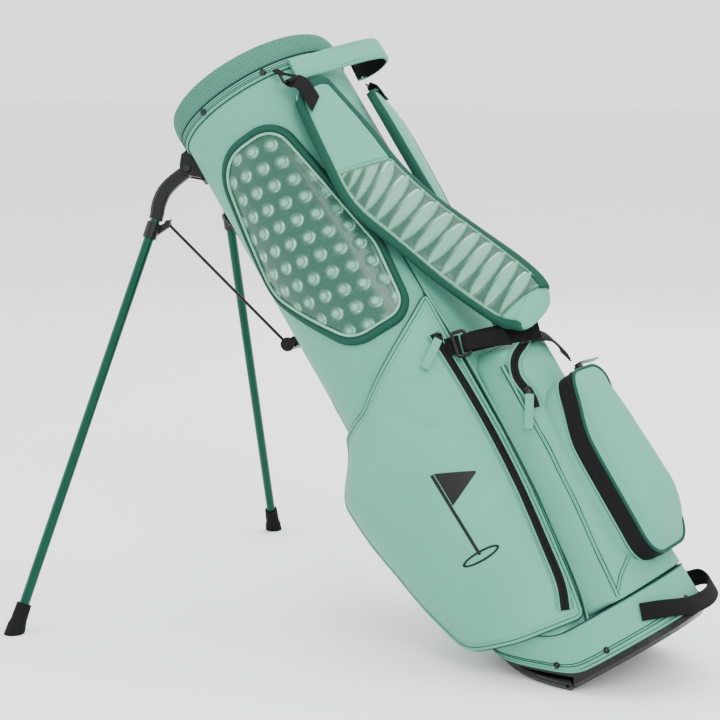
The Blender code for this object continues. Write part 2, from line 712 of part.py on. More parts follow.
def build_apparel_pocket(name, mirrored):
    corners = [(0.121, 0.506, 0.004), (-0.020, 0.416, 0.03), (-0.108, 0.402, 0.022), (-0.111, 0.190, 0.06),
               (-0.060, 0.100, 0.05), (0.010, 0.080, 0.05), (split_arc(0.068) - 0.001, 0.068, 0.006)]
    corners += [(split_arc(u) - 0.001, u, 0.2) for u in (0.115, 0.175, 0.235, 0.310, 0.400)]
    outline = resample(rounded(corners, 4), 0.020)
    flip = -1.0 if mirrored else 1.0

    def place(point):
        return Vector((point.x, flip * point.y, point.z))

    add(name, pad(outline, (0.000, 0.270), lambda a, b: place(on_tube(a, b, SOFT_GAP)),
                  lambda a, b, s: place(apparel_face(a, b)), rings=7), FABRIC)


def block_half_width(u):
    angle = (split_arc(u) + 0.0015) / TUBE_MEAN
    return tube_radius(angle) * math.cos(angle)


def block_q(y, u):
    """Outer face of the strap-side pocket block, from the slanted top wall down to the heel."""
    edge = 0.107 - 0.009 * smooth((0.25 - u) / 0.18)
    share = min(1.0, abs(y) / block_half_width(u))
    face = edge + (BLOCK_Q - edge) * (1.0 - share ** 2.2) ** 0.6
    under = tube_face_q(y, SOFT_GAP)
    rise = smooth((BLOCK_TOP + 0.003 - u) / 0.024)
    return under + 0.004 + (face - under - 0.004) * rise


def build_strap_side_pockets():
    low = 0.0642
    rows = [low + 0.001, 0.13, 0.22, 0.31, BLOCK_TOP - 0.012]
    half = [(block_half_width(u), u) for u in rows]
    corners = [(-half[0][0], half[0][1], 0.004)] + [(half[0][0], half[0][1], 0.004)]
    corners += [(w, u, 0.2) for w, u in half[1:-1]] + [(half[-1][0] - 0.012, BLOCK_TOP, 0.025)]
    corners += [(0.012 - half[-1][0], BLOCK_TOP, 0.025)] + [(-w, u, 0.2) for w, u in reversed(half[1:-1])]
    outline = resample(rounded(corners, 4), 0.018)
    add("accessory_pocket", pad(outline, (0.0, 0.235), lambda a, b: (tube_face_q(a, SOFT_GAP), a, b),
                                lambda a, b, s: (block_q(a, b), a, b), rings=9), FABRIC)


BALL_CORNERS = [(-0.060, 0.088, 0.035), (0.060, 0.088, 0.035), (0.055, 0.22, 0.2), (0.044, 0.326, 0.028),
                (-0.044, 0.326, 0.028), (-0.055, 0.22, 0.2)]


def ball_edge_q(u):
    """Edge of the ball pocket's lid: it rises at the top and dips at the bottom."""
    return BALL_EDGE_Q + 0.016 * smooth((u - 0.24) / 0.08) - 0.004 * smooth((0.13 - u) / 0.05)


def build_ball_pocket():
    outline = resample(rounded(BALL_CORNERS, 5), 0.018)

    def outer(y, u, share):
        edge = ball_edge_q(u)
        return (edge + (BALL_Q - edge) * (1.0 - share ** 3), y, u)

    add("ball_pocket", pad(outline, (0.0, 0.205), lambda a, b: (block_q(a, b) + 0.0022, a, b), outer, rings=8),
        FABRIC)


def strip(points, normals, width, thickness, low=0.0):
    """A flat strip along points; each normal is the way its face looks, low lifts it off the points."""
    points = [Vector(p) for p in points]
    sections = []
    for index, point in enumerate(points):
        before = points[max(index - 1, 0)]
        after = points[min(index + 1, len(points) - 1)]
        forward = (after - before).normalized()
        normal = Vector(normals[index])
        normal = (normal - normal.dot(forward) * forward).normalized()
        side = forward.cross(normal)
        corners = ((-1, low), (1, low), (1, low + thickness), (-1, low + thickness))
        sections.append([point + side * s * width / 2 + normal * n for s, n in corners])
    return loft(sections)


def normal_of(face, a, b):
    """Outward unit normal of a face given as face(a, b), by small steps."""
    step = 0.0005
    along_a = Vector(face(a + step, b)) - Vector(face(a - step, b))
    along_b = Vector(face(a, b + step)) - Vector(face(a, b - step))
    normal = along_a.cross(along_b).normalized()
    away = Vector(face(a, b)) - Vector((TUBE_Q, 0.0, b))
    return normal if normal.dot(away) > 0 else -normal


def lie_on(face, route, steps=5):
    """Points and normals of a smooth route of (a, b) points on a face."""
    path = smooth_path([(a, b, 0.0) for a, b in route], steps)
    return [Vector(face(p.x, p.y)) for p in path], [normal_of(face, p.x, p.y) for p in path]


def block(middle, along, normal, sizes, chamfer=0.25):
    """A chamfered block: sizes along the zip, across it and out of it."""
    across = along.cross(normal)
    length, width, height = sizes
    sections = []
    for n, shrink in ((-0.5, 1.0), (0.2, 1.0), (0.5, 1.0 - chamfer)):
        corners = ((-1, -0.6), (-0.6, -1), (0.6, -1), (1, -0.6), (1, 0.6), (0.6, 1), (-0.6, 1), (-1, 0.6))
        sections.append([middle + along * length / 2 * a * shrink + across * width / 2 * b * shrink
                         + normal * height * n for a, b in corners])
    return loft(sections)


TAPE_LIFT = 0.0016
TAPE_THICKNESS = 0.0016
SLIDER = (0.013, 0.0095, 0.0042)
SLIDER_LIFT = 0.0012        # clear of the tape all along the slide
TAB = (0.040, 0.0115, 0.0016)


def add_zip_parts(prefix, face, route, stop, tab_tip, tape_width=0.0125):
    """A zip's tape, its slider at the route point number stop, and the pull tab hanging from it."""
    points, normals = lie_on(face, route)
    add(prefix + "_zip", strip(points, normals, tape_width, TAPE_THICKNESS, TAPE_LIFT), WEBBING)
    a, b = route[stop]
    normal = normal_of(face, a, b)
    ahead = Vector(face(*route[stop + 1])) if stop + 1 < len(route) else Vector(face(*route[stop - 1]))
    along = ahead - Vector(face(a, b))
    along = (along - along.dot(normal) * normal).normalized()
    out = TAPE_LIFT + TAPE_THICKNESS + SLIDER_LIFT + SLIDER[2] / 2
    base = Vector(face(a, b)) + normal * out + along * 0.008
    add(prefix + "_zip_slider", block(base, along, normal, SLIDER), PLASTIC, base)
    hook = base + normal * (SLIDER[2] / 2 + GAP + TAB[2] / 2 + 0.0014)
    tip = Vector(face(*tab_tip)) + normal_of(face, *tab_tip) * 0.0085
    tab_line = (tip - hook).normalized()
    ends = [hook - tab_line * 0.003, hook + tab_line * TAB[0]]
    add(prefix + "_zip_pull", strip(ends, [normal, normal], TAB[1], TAB[2], -TAB[2] / 2), FABRIC, hook)


def build_zips():
    apparel_route = [(0.100, 0.453), (0.1025, 0.357), (0.099, 0.261), (0.089, 0.170), (0.082, 0.118),
                     (0.071, 0.086)]
    add_zip_parts("apparel", apparel_face, apparel_route, 0, (0.063, 0.411))

    def block_face(y, u):
        return Vector((block_q(y, u), y, u))

    accessory_route = [(-0.0520, 0.312), (-0.0500, 0.325), (-0.0515, 0.340), (-0.0520, 0.357),
                       (-0.0470, 0.374), (-0.0360, 0.384), (-0.0180, 0.389), (0.0, 0.390)]
    add_zip_parts("accessory", block_face, accessory_route, 1, (-0.062, 0.290), 0.0115)

    # the ball pocket's zip runs round its wall, open only in the middle of the bottom
    outline = resample(rounded(BALL_CORNERS, 5), 0.030)
    outline.sort(key=lambda p: math.atan2(-p[0], 0.205 - p[1]) % math.tau)
    near = [Vector(p) for p in outline if p[1] > 0.09 or abs(p[0]) > 0.012]
    points = []
    normals = []
    for index, p in enumerate(near):
        before = near[max(index - 1, 0)]
        after = near[min(index + 1, len(near) - 1)]
        forward = (after - before).normalized()
        outward = Vector((-forward.y, forward.x))
        if outward.dot(p - Vector((0.0, 0.205))) < 0:
            outward = -outward
        points.append(Vector((ball_edge_q(p.y) - 0.0088, p.x, p.y)))
        normals.append(Vector((0.0, outward.x, outward.y)))
    add("ball_zip", strip(points, normals, 0.015, TAPE_THICKNESS, 0.0007), WEBBING)
    normal = Vector((0.0, 0.0, 1.0))
    along = Vector((0.0, -1.0, 0.0))
    top = Vector((ball_edge_q(0.326) - 0.0088, 0.004, 0.326))
    base = top + normal * (0.0007 + TAPE_THICKNESS + GAP + SLIDER[2] / 2)
    add("ball_zip_slider", block(base, along, normal, SLIDER), PLASTIC, base)
    hook = base + normal * (SLIDER[2] / 2 + GAP + TAB[2] / 2 + 0.0014)
    ends = [hook - Vector((0.0, 0.003, 0.0)), hook + Vector((0.004, TAB[0], -0.003))]
    add("ball_zip_pull", strip(ends, [normal, normal], TAB[1], TAB[2], -TAB[2] / 2), FABRIC, hook)


def wire_loop(points, radius, count=8):
    """A closed round bar through points."""
    points = [Vector(p) for p in points]
    normal = (points[1] - points[0]).cross(points[2] - points[1]).normalized()
    sections = []
    for index, point in enumerate(points):
        forward = (points[(index + 1) % len(points)] - points[index - 1]).normalized()
        side = forward.cross(normal)
        sections.append(circle(point, side, normal, radius, count))
    return ring(sections)


# edges of the near shoulder strap's pad, (left point, right point) in q, y, u, from top to bottom
NEAR_STRAP = [
    ((0.077, -0.095, 0.800), (0.096, -0.034, 0.815)), ((0.075, -0.107, 0.704), (0.104, -0.016, 0.738)),
    ((0.074, -0.106, 0.638), (0.112, -0.010, 0.674)), ((0.087, -0.086, 0.576), (0.128, 0.002, 0.608)),
    ((0.105, -0.058, 0.499), (0.152, 0.020, 0.540)), ((0.134, -0.048, 0.430), (0.178, 0.020, 0.480)),
    ((0.155, -0.045, 0.404), (0.188, 0.018, 0.440)), ((0.160, -0.034, 0.399), (0.176, 0.015, 0.413))]
FAR_STRAP = [
    ((0.074, 0.088, 0.778), (0.106, 0.040, 0.790)), ((0.086, 0.084, 0.735), (0.112, 0.030, 0.748)),
    ((0.083, 0.085, 0.640), (0.104, 0.036, 0.650)), ((0.070, 0.095, 0.560), (0.100, 0.048, 0.570)),
    ((0.070, 0.095, 0.490), (0.102, 0.050, 0.500)), ((0.084, 0.090, 0.454), (0.111, 0.054, 0.460))]
STRAP_THICKNESS = 0.010
WEBBING_SHARE = {"near": 0.17, "far": 0.42}         # where the top webbing meets the pad, across it
WEBBING_RISE = {"near": 0.0130, "far": 0.0155}


def strap_pad(edges, steps=4):
    """A padded strap between two edge curves."""
    left = smooth_path([pair[0] for pair in edges], steps)
    right = smooth_path([pair[1] for pair in edges], steps)
    sections = []
    for index, (a, b) in enumerate(zip(left, right)):
        middle_before = (left[max(index - 1, 0)] + right[max(index - 1, 0)]) / 2
        after = min(index + 1, len(left) - 1)
        forward = ((left[after] + right[after]) / 2 - middle_before).normalized()
        side = (b - a).normalized()
        normal = forward.cross(side).normalized()
        if normal.dot(a + b - Vector((2 * TUBE_Q, 0.0, 2 * a.z))) < 0:
            normal = -normal
        inset = side * 0.003
        t = STRAP_THICKNESS / 2
        middle = (a + b) / 2 + normal * 0.006
        sections.append([a, a + inset - normal * t, middle - normal * t, b - inset - normal * t,
                         b, b - inset + normal * t, middle + normal * (t + 0.0015), a + inset + normal * t])
    return loft(sections)


def build_straps():
    """Shoulder straps with their webbing, rings and buckles."""
    for word, edges in (("near", NEAR_STRAP), ("far", FAR_STRAP)):
        top = Vector(STRAP_TOP_ANCHORS[word])
        low = Vector(STRAP_LOW_ANCHORS[word])
        add(word + "_strap_pad", strap_pad(edges), FABRIC, top)

        left, right = (Vector(p) for p in edges[0])
        out = (right - left).cross(Vector((0.0, 0.0, 1.0))).normalized()
        if out.dot(left + right - Vector((2 * TUBE_Q, 0.0, 2 * left.z))) < 0:
            out = -out
        start = left.lerp(right, WEBBING_SHARE[word]) + out * WEBBING_RISE[word]
        ring_middle = top + out * 0.006
        down = (start - ring_middle).normalized()
        out = (out - out.dot(down) * down).normalized()
        width = down.cross(out)
        half = 0.0145
        triangle = rounded([(-half, -0.008, 0.003), (half, -0.008, 0.003), (0.0, 0.014, 0.003)], 3)
        bar = [ring_middle + width * a - down * b for a, b in triangle]
        add(word + "_strap_ring", wire_loop(bar, 0.0019), ("black", 0.35, 0.8), top)
        onward = (Vector(edges[1][0]) + Vector(edges[1][1]) - left - right).normalized()
        route = smooth_path([ring_middle + down * 0.0125, start, start + onward * 0.034 - out * 0.0005], 3)
        add(word + "_strap_webbing", strip(route, [out] * len(route), 0.022, 0.0018), WEBBING, top)

        end_a, end_b = (Vector(p) for p in edges[-1])
        toward = (end_a * 0.62 + end_b * 0.38) - low
        under = (low - Vector((TUBE_Q, 0.0, low.z))).normalized()
        reach = toward.length * 0.40
        route = [low + toward.normalized() * (0.0125 + reach * share) + under * rise for share, rise in
                 ((0.0, 0.0025), (0.33, 0.0035), (0.66, 0.001), (1.0, -0.0025))]
        add(word + "_lower_webbing", strip(smooth_path(route, 2), [under] * 7, 0.022, 0.0018, -0.0030), WEBBING,
            low)
        along = toward.normalized()
        cross = along.cross(under).normalized()
        frame = rounded([(-0.009, -0.0155, 0.003), (0.007, -0.0155, 0.003), (0.007, 0.0155, 0.003),
                         (-0.009, 0.0155, 0.003)], 2)
        bar = [low + along * a + cross * b + under * 0.001 for a, b in frame]
        add(word + "_lower_buckle", wire_loop(bar, 0.0024), PLASTIC, low)

    cross_route = smooth_path([(0.1500, -0.022, 0.3925), (0.1530, -0.004, 0.389), (0.1525, 0.014, 0.3835),
                               (0.1490, 0.032, 0.374), (0.1440, 0.048, 0.364), (0.1375, 0.060, 0.356)], 3)
    faces = [Vector((1.0, p.y * 7.0, 0.12)).normalized() for p in cross_route]
    add("accessory_webbing", strip(cross_route, faces, 0.020, 0.0018, 0.0005), WEBBING)


def build_handles():
    """The grab handle under the collar and the webbing loop on the heel."""
    top_route = smooth_path([(0.0885, -0.060), (0.101, -0.034), (0.118, 0.002), (0.131, 0.036), (0.135, 0.062),
                             (0.126, 0.083), (0.106, 0.091), (0.088, 0.086), (0.080, 0.077)], 3)
    points = [Vector((p.x, p.y, 0.8350 - 0.003 * math.sin(k / (len(top_route) - 1) * math.pi)))
              for k, p in enumerate(top_route)]
    sections = []
    for index, point in enumerate(points):
        before = points[max(index - 1, 0)]
        after = points[min(index + 1, len(points) - 1)]
        forward = (after - before).normalized()
        side = Vector((0.0, 0.0, 1.0))
        normal = forward.cross(side).normalized()
        half_w = 0.0155
        half_t = 0.0030
        corners = ((-half_w, -half_t * 0.4), (-half_w * 0.8, -half_t), (half_w * 0.8, -half_t),
                   (half_w, -half_t * 0.4), (half_w, half_t * 0.4), (half_w * 0.8, half_t),
                   (-half_w * 0.8, half_t), (-half_w, half_t * 0.4))
        sections.append([point + side * w + normal * n for w, n in corners])
    add("top_handle", loft(sections), FABRIC, (0.0840, 0.0, 0.8350))

    heel_route = smooth_path([(0.1195, -0.0745, 0.0410), (0.1390, -0.0580, 0.0315), (0.1535, -0.0280, 0.0195),
                              (0.1585, 0.0040, 0.0150), (0.1595, 0.0320, 0.0160), (0.1560, 0.0560, 0.0240),
                              (0.1400, 0.0740, 0.0360), (0.1190, 0.0780, 0.0410)], 3)
    sections = []
    for index, point in enumerate(heel_route):
        before = heel_route[max(index - 1, 0)]
        after = heel_route[min(index + 1, len(heel_route) - 1)]
        forward = (after - before).normalized()
        side = Vector((0.0, 0.0, 1.0))
        side = (side - side.dot(forward) * forward).normalized()
        normal = forward.cross(side)
        corners = ((-0.0105, -0.001), (0.0105, -0.001), (0.0105, 0.001), (-0.0105, 0.001))
        sections.append([point + side * w + normal * n for w, n in corners])
    add("heel_handle", loft(sections), WEBBING, (0.1195, 0.0, 0.0410))


def build_rivets():
    """The rivets on the collar."""
    for index, arc_deg in enumerate(RIVETS_DEG):
        angle = math.radians(arc_deg)
        seat = around(angle, tube_radius(angle) + 0.0032 + GAP, 0.8505)
        out = Vector((math.sin(angle), -math.cos(angle), 0.0))
        side = Vector((0.0, 0.0, 1.0))
        other = out.cross(side)
        sections = [circle(seat + out * n, side, other, r, 12) for n, r in
                    ((0.0, 0.0044), (0.0012, 0.0044), (0.0024, 0.0028))]
        add("collar_rivet_" + str(index + 1), loft(sections), STEEL)


def main():
    global FRAME
    clear_scene()
    FRAME = make_frame()
    build_panels()
    build_collar()
    build_dividers()
    build_boot_and_cup()
    build_pedal()
    for side, word in ((-1, "near"), (1, "far")):
        build_leg(side, word)
    build_actuator()
    build_hip_pad()
    build_apparel_pocket("apparel_pocket", False)
    build_apparel_pocket("far_side_pocket", True)
    build_strap_side_pockets()
    build_ball_pocket()
    build_zips()
    build_straps()
    build_handles()
    build_rivets()


main()
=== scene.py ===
"""The looks of a golf stand bag.

The bag has its own frame: q points from the legs to the shoulder straps, y across and u up its long
axis. Angles round the tube start at 0 on the near side (-y) and reach 90 at the straps; arc is that
angle as a distance round the tube.
"""
import math

import bmesh
import bpy
from mathutils import Matrix, Vector, noise


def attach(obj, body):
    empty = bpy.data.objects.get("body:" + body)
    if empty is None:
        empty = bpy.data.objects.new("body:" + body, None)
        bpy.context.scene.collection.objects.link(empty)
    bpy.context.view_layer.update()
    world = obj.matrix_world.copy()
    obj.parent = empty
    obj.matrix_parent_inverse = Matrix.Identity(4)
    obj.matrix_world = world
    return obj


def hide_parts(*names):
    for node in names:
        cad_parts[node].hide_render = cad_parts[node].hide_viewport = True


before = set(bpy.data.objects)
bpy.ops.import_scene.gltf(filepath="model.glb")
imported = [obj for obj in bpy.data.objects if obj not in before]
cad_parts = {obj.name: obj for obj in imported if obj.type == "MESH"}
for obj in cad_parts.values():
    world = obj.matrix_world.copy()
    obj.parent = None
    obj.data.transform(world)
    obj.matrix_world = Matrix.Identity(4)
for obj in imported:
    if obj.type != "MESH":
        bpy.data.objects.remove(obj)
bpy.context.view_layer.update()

# ---- the bag's own sizes, in metres ----
LEAN = math.radians(35.3)
SIN_LEAN = math.sin(LEAN)
COS_LEAN = math.cos(LEAN)
KINK_X = 0.066
TUBE_Q = -0.023
TUBE_HALF_Q = 0.113
TUBE_HALF_Y = 0.121
TUBE_MEAN = (TUBE_HALF_Q + TUBE_HALF_Y) / 2.0
WALL = 0.003
HEEL_HALF_Q = 0.171
TOE_HALF_Q = 0.075
BASE_HALF_Y = 0.108
BASE_SQUARENESS = 2.4
BOOT_HEIGHT = 0.051
CUP_CLEARANCE_Z = 0.019
CUFF_LOW = 0.8575
BLOCK_Q = 0.146
BLOCK_TOP = 0.407
BALL_Q = 0.200
BALL_EDGE_Q = 0.168
APPAREL_TOP = [(-0.115, 0.402), (-0.020, 0.417), (0.125, 0.509)]
SPLIT_ARC = [(0.062, 0.0870), (0.115, 0.0965), (0.235, 0.1120), (0.310, 0.1175), (0.500, 0.1210)]

# ---- colours, linear ----
MINT = (0.080, 0.300, 0.212)
# colour of the dark seam lines: painted shadow along seams and round piping, with the seams' dark thread
SEAM_SHADOW_AND_THREAD = (0.005, 0.035, 0.024)
TEAL = (0.010, 0.066, 0.044)
GEL_HIGH = (0.120, 0.300, 0.215)
GEL_LOW = (0.018, 0.076, 0.050)
# painted highlight colour of the gel
GEL_GLINT = (0.330, 0.560, 0.450)
BLACK = (0.0045, 0.0045, 0.0048)


def bag(q, y, u):
    """A point of the bag's frame in the world."""
    return Vector((KINK_X + q * COS_LEAN - u * SIN_LEAN, y, q * SIN_LEAN + u * COS_LEAN))


def in_world(points):
    """Points of the bag's frame in the world."""
    return [bag(*p) for p in points]


def bag_direction(q, y, u):
    return bag(q, y, u) - bag(0.0, 0.0, 0.0)


# ---- small maths ----
def smooth(value):
    value = min(1.0, max(0.0, value))
    return value * value * (3.0 - 2.0 * value)


def between(stations, value):
    for (p0, v0), (p1, v1) in zip(stations, stations[1:]):
        if value <= p1:
            break
    return v0 + (v1 - v0) * (value - p0) / (p1 - p0)


def rounded(corners, steps=6):
    """A closed outline of (a, b) points from corners given as (a, b, radius)."""
    outline = []
    for index, (a, b, radius) in enumerate(corners):
        here = Vector((a, b))
        before = Vector(corners[index - 1][:2]) - here
        after = Vector(corners[(index + 1) % len(corners)][:2]) - here
        half = before.angle(after) / 2.0
        reach = min(radius / math.tan(half), 0.48 * before.length, 0.48 * after.length)
        radius = reach * math.tan(half)
        middle = here + (before.normalized() + after.normalized()).normalized() * radius / math.sin(half)
        first = here + before.normalized() * reach - middle
        last = here + after.normalized() * reach - middle
        sweep = first.angle_signed(last)
        for step in range(steps + 1):
            turned = first.copy()
            turned.rotate(Matrix.Rotation(-sweep * step / steps, 2))
            outline.append(middle + turned)
    return outline


def even(points, spacing, closed=False):
    """Points at an even spacing along a line of points."""
    points = [Vector(p) for p in points]
    if closed:
        points.append(points[0])
    lengths = [(b - a).length for a, b in zip(points, points[1:])]
    total = sum(lengths)
    count = max(2, round(total / spacing))
    result = []
    index = 0
    passed = 0.0
    for step in range(count if closed else count + 1):
        target = total * step / count
        while index < len(lengths) - 1 and passed + lengths[index] < target:
            passed += lengths[index]
            index += 1
        share = (target - passed) / lengths[index] if lengths[index] else 0.0
        result.append(points[index].lerp(points[index + 1], min(1.0, share)))
    return result


def full_turn(count, closing=0):
    """Angles at even steps round a full turn; closing adds the first one again at the end."""
    return [math.tau * k / count for k in range(count + closing)]


def forward_at(points, index):
    """Direction of an open line at one of its points."""
    before = points[max(index - 1, 0)]
    after = points[min(index + 1, len(points) - 1)]
    return (after - before).normalized()


def smooth_path(points, steps):
    """A Catmull-Rom curve through the points."""
    points = [Vector(p) for p in points]
    ends = [2 * points[0] - points[1]] + points + [2 * points[-1] - points[-2]]
    path = []
    for k in range(1, len(ends) - 2):
        p0, p1, p2, p3 = ends[k - 1:k + 3]
        for step in range(steps):
            t = step / steps
            path.append(0.5 * (2 * p1 + (p2 - p0) * t + (2 * p0 - 5 * p1 + 4 * p2 - p3) * t * t
                               + (3 * p1 - p0 - 3 * p2 + p3) * t ** 3))
    path.append(points[-1])
    return path


def inset(outline, distance, rounds=1):
    """The closed outline moved inwards."""
    count = len(outline)
    area = sum(a.x * b.y - a.y * b.x for a, b in zip(outline, outline[1:] + outline[:1]))
    sign = 1.0 if area > 0 else -1.0
    moved = []
    for k, point in enumerate(outline):
        along = (outline[(k + 2) % count] - outline[k - 2]).normalized()
        moved.append(point + Vector((-along.y, along.x)) * distance * sign)
    for _ in range(rounds):
        moved = [(moved[k - 1] + 2 * moved[k] + moved[(k + 1) % count]) / 4 for k in range(count)]
    return moved


def wrinkle(point, size, amount):
    """Soft unevenness of sewn fabric."""
    p = point / size
    return amount * (noise.noise(p) + 0.5 * noise.noise(p * 2.1 + Vector((7.0, 3.0, 1.0))))


# ---- surfaces of the bag ----
def tube_radius(angle):
    return 1.0 / math.hypot(math.sin(angle) / TUBE_HALF_Q, math.cos(angle) / TUBE_HALF_Y)


def base_radius(angle):
    half_q = HEEL_HALF_Q if math.sin(angle) > 0 else TOE_HALF_Q
    n = BASE_SQUARENESS
    total = abs(math.sin(angle) / half_q) ** n + abs(math.cos(angle) / BASE_HALF_Y) ** n
    return total ** (-1.0 / n)


def around(angle, radius, u):
    return bag(TUBE_Q + radius * math.sin(angle), -radius * math.cos(angle), u)


def on_tube(arc, u, out=0.0):
    angle = arc / TUBE_MEAN
    return around(angle, tube_radius(angle) + out, u)


def tube_ring(u, out):
    """A ring of points round the tube."""
    return [around(t, tube_radius(t) + out, u) for t in full_turn(160)]


def base_line(angle):
    q = TUBE_Q + base_radius(angle) * math.sin(angle)
    level = (CUP_CLEARANCE_Z + 0.003 - q * SIN_LEAN) / COS_LEAN
    return 0.012 + 0.005 * math.log1p(math.exp((level - 0.012) / 0.005))


def seam_line(angle):
    return base_line(angle) + BOOT_HEIGHT


def boot(arc, share, out=0.0):
    """The boot band: share 0 is its lower edge, 1 the seam."""
    angle = arc / TUBE_MEAN
    wide = max(base_radius(angle), tube_radius(angle))
    radius = base_radius(angle) + (wide - base_radius(angle)) * share
    return around(angle, radius + out, base_line(angle) + BOOT_HEIGHT * share)


def tube_face_q(y, out=0.0):
    share = min(0.999, abs(y) / (TUBE_HALF_Y + out))
    return TUBE_Q + (TUBE_HALF_Q + out) * math.sqrt(1.0 - share * share)


def apparel_height(arc, u):
    sideways = smooth((0.128 - arc) / 0.21)
    down = smooth((between(APPAREL_TOP, arc) + 0.004 - u) / 0.085)
    low_end = 1.0 - 0.75 * smooth((0.35 - u) / 0.28)
    return 0.0045 + 0.043 * sideways * down * low_end + 0.003 * smooth((0.120 - arc) / 0.05)


def split_arc(u):
    return between(SPLIT_ARC, u)


def block_half_width(u):
    angle = (split_arc(u) + 0.0015) / TUBE_MEAN
    return tube_radius(angle) * math.cos(angle)


def block_q(y, u):
    edge = 0.107 - 0.009 * smooth((0.25 - u) / 0.18)
    share = min(1.0, abs(y) / block_half_width(u))
    face = edge + (BLOCK_Q - edge) * (1.0 - share ** 2.2) ** 0.6
    under = tube_face_q(y, 0.0012)
    rise = smooth((BLOCK_TOP + 0.003 - u) / 0.024)
    return under + 0.004 + (face - under - 0.004) * rise


def ball_edge_q(u):
    return BALL_EDGE_Q + 0.016 * smooth((u - 0.24) / 0.08) - 0.004 * smooth((0.13 - u) / 0.05)


def normal_of(face, a, b, inside):
    """Outward unit normal of face(a, b), away from the point inside."""
    step = 0.0006
    normal = (face(a + step, b) - face(a - step, b)).cross(face(a, b + step) - face(a, b - step)).normalized()
    return normal if normal.dot(face(a, b) - inside) > 0 else -normal


def tube_axis(point):
    """The tube's middle beside a world point."""
    up = bag_direction(0.0, 0.0, 1.0)
    base = bag(TUBE_Q, 0.0, 0.0)
    return base + up * (point - base).dot(up)


# ---- materials ----
def new_material(name, color, roughness, metallic=0.0):
    material = bpy.data.materials.new(name)
    material.use_nodes = True
    shader = material.node_tree.nodes["Principled BSDF"]
    shader.inputs["Base Color"].default_value = (*color, 1.0)
    shader.inputs["Roughness"].default_value = roughness
    shader.inputs["Metallic"].default_value = metallic
    return material, material.node_tree, shader


def node(tree, kind, links=None, **values):
    """A shader node; values set sockets or properties by name, links joins sockets."""
    made = tree.nodes.new("ShaderNode" + kind)
    for key, value in values.items():
        socket = key.replace("_", " ")
        if socket in made.inputs:
            made.inputs[socket].default_value = value
        else:
            setattr(made, key, value)
    for socket, source in (links or {}).items():
        tree.links.new(source, made.inputs[socket])
    return made


def mottle(tree, shader, vector, light, dark, scale, share=0.5):
    """Base colour that drifts between two tones."""
    cloud = node(tree, "TexNoise", {"Vector": vector}, Scale=scale, Detail=4.0)
    ramp = node(tree, "ValToRGB", {"Fac": cloud.outputs["Fac"]})
    ramp.color_ramp.elements[0].position = 0.5 - share / 2
    ramp.color_ramp.elements[1].position = 0.5 + share / 2
    ramp.color_ramp.elements[0].color = (*dark, 1.0)
    ramp.color_ramp.elements[1].color = (*light, 1.0)
    tree.links.new(ramp.outputs["Color"], shader.inputs["Base Color"])
    return ramp


def bump(tree, shader, height, strength, distance, under=None):
    links = {"Height": height}
    if under:
        links["Normal"] = under.outputs["Normal"]
    made = node(tree, "Bump", links, Strength=strength, Distance=distance)
    tree.links.new(made.outputs["Normal"], shader.inputs["Normal"])
    return made


def toned(color, factor):
    return tuple(c * factor for c in color)


def fabric_material(name, color, roughness=0.55, grain=1500.0, depth=0.25):
    """Coated fabric: fine grain over soft unevenness, a little worn."""
    material, tree, shader = new_material(name, color, roughness)
    place = node(tree, "TexCoord").outputs["Object"]
    mottle(tree, shader, place, toned(color, 1.05), toned(color, 0.93), 9.0)
    pebbles = node(tree, "TexVoronoi", {"Vector": place}, Scale=grain)
    soft = node(tree, "TexNoise", {"Vector": place}, Scale=55.0, Detail=3.0)
    wide = bump(tree, shader, soft.outputs["Fac"], 0.10, 0.002)
    bump(tree, shader, pebbles.outputs["Distance"], depth, 0.00025, wide)
    wear = node(tree, "TexNoise", {"Vector": place}, Scale=22.0, Detail=5.0)
    spread = node(tree, "MapRange", {"Value": wear.outputs["Fac"]}, To_Min=roughness - 0.07,
                  To_Max=roughness + 0.09)
    tree.links.new(spread.outputs["Result"], shader.inputs["Roughness"])
    shader.inputs["Specular IOR Level"].default_value = 0.22
    return material


def woven_material(name, color, along, across, depth=0.6, roughness=0.8, dark=0.45):
    """A weave over the UV map, which is in metres: thread pitch along and across."""
    material, tree, shader = new_material(name, color, roughness)
    place = node(tree, "UVMap", uv_map="metres").outputs["UV"]
    split = node(tree, "SeparateXYZ", {"Vector": place})

    def ripple(socket, pitch):
        scaled = node(tree, "Math", {0: socket}, operation="MULTIPLY")
        scaled.inputs[1].default_value = math.tau / pitch
        return node(tree, "Math", {0: scaled.outputs[0]}, operation="SINE").outputs[0]

    product = node(tree, "Math",
                   {0: ripple(split.outputs["X"], along), 1: ripple(split.outputs["Y"], across)},
                   operation="MULTIPLY")
    shade = node(tree, "MapRange", {"Value": product.outputs[0]}, From_Min=-1.0, From_Max=1.0)
    ramp = node(tree, "ValToRGB", {"Fac": shade.outputs["Result"]})
    ramp.color_ramp.elements[0].color = (*toned(color, dark), 1.0)
    ramp.color_ramp.elements[1].color = (*toned(color, 1.12), 1.0)
    tree.links.new(ramp.outputs["Color"], shader.inputs["Base Color"])
    bump(tree, shader, shade.outputs["Result"], depth, min(along, across) * 0.4)
    shader.inputs["Specular IOR Level"].default_value = 0.10
    return material


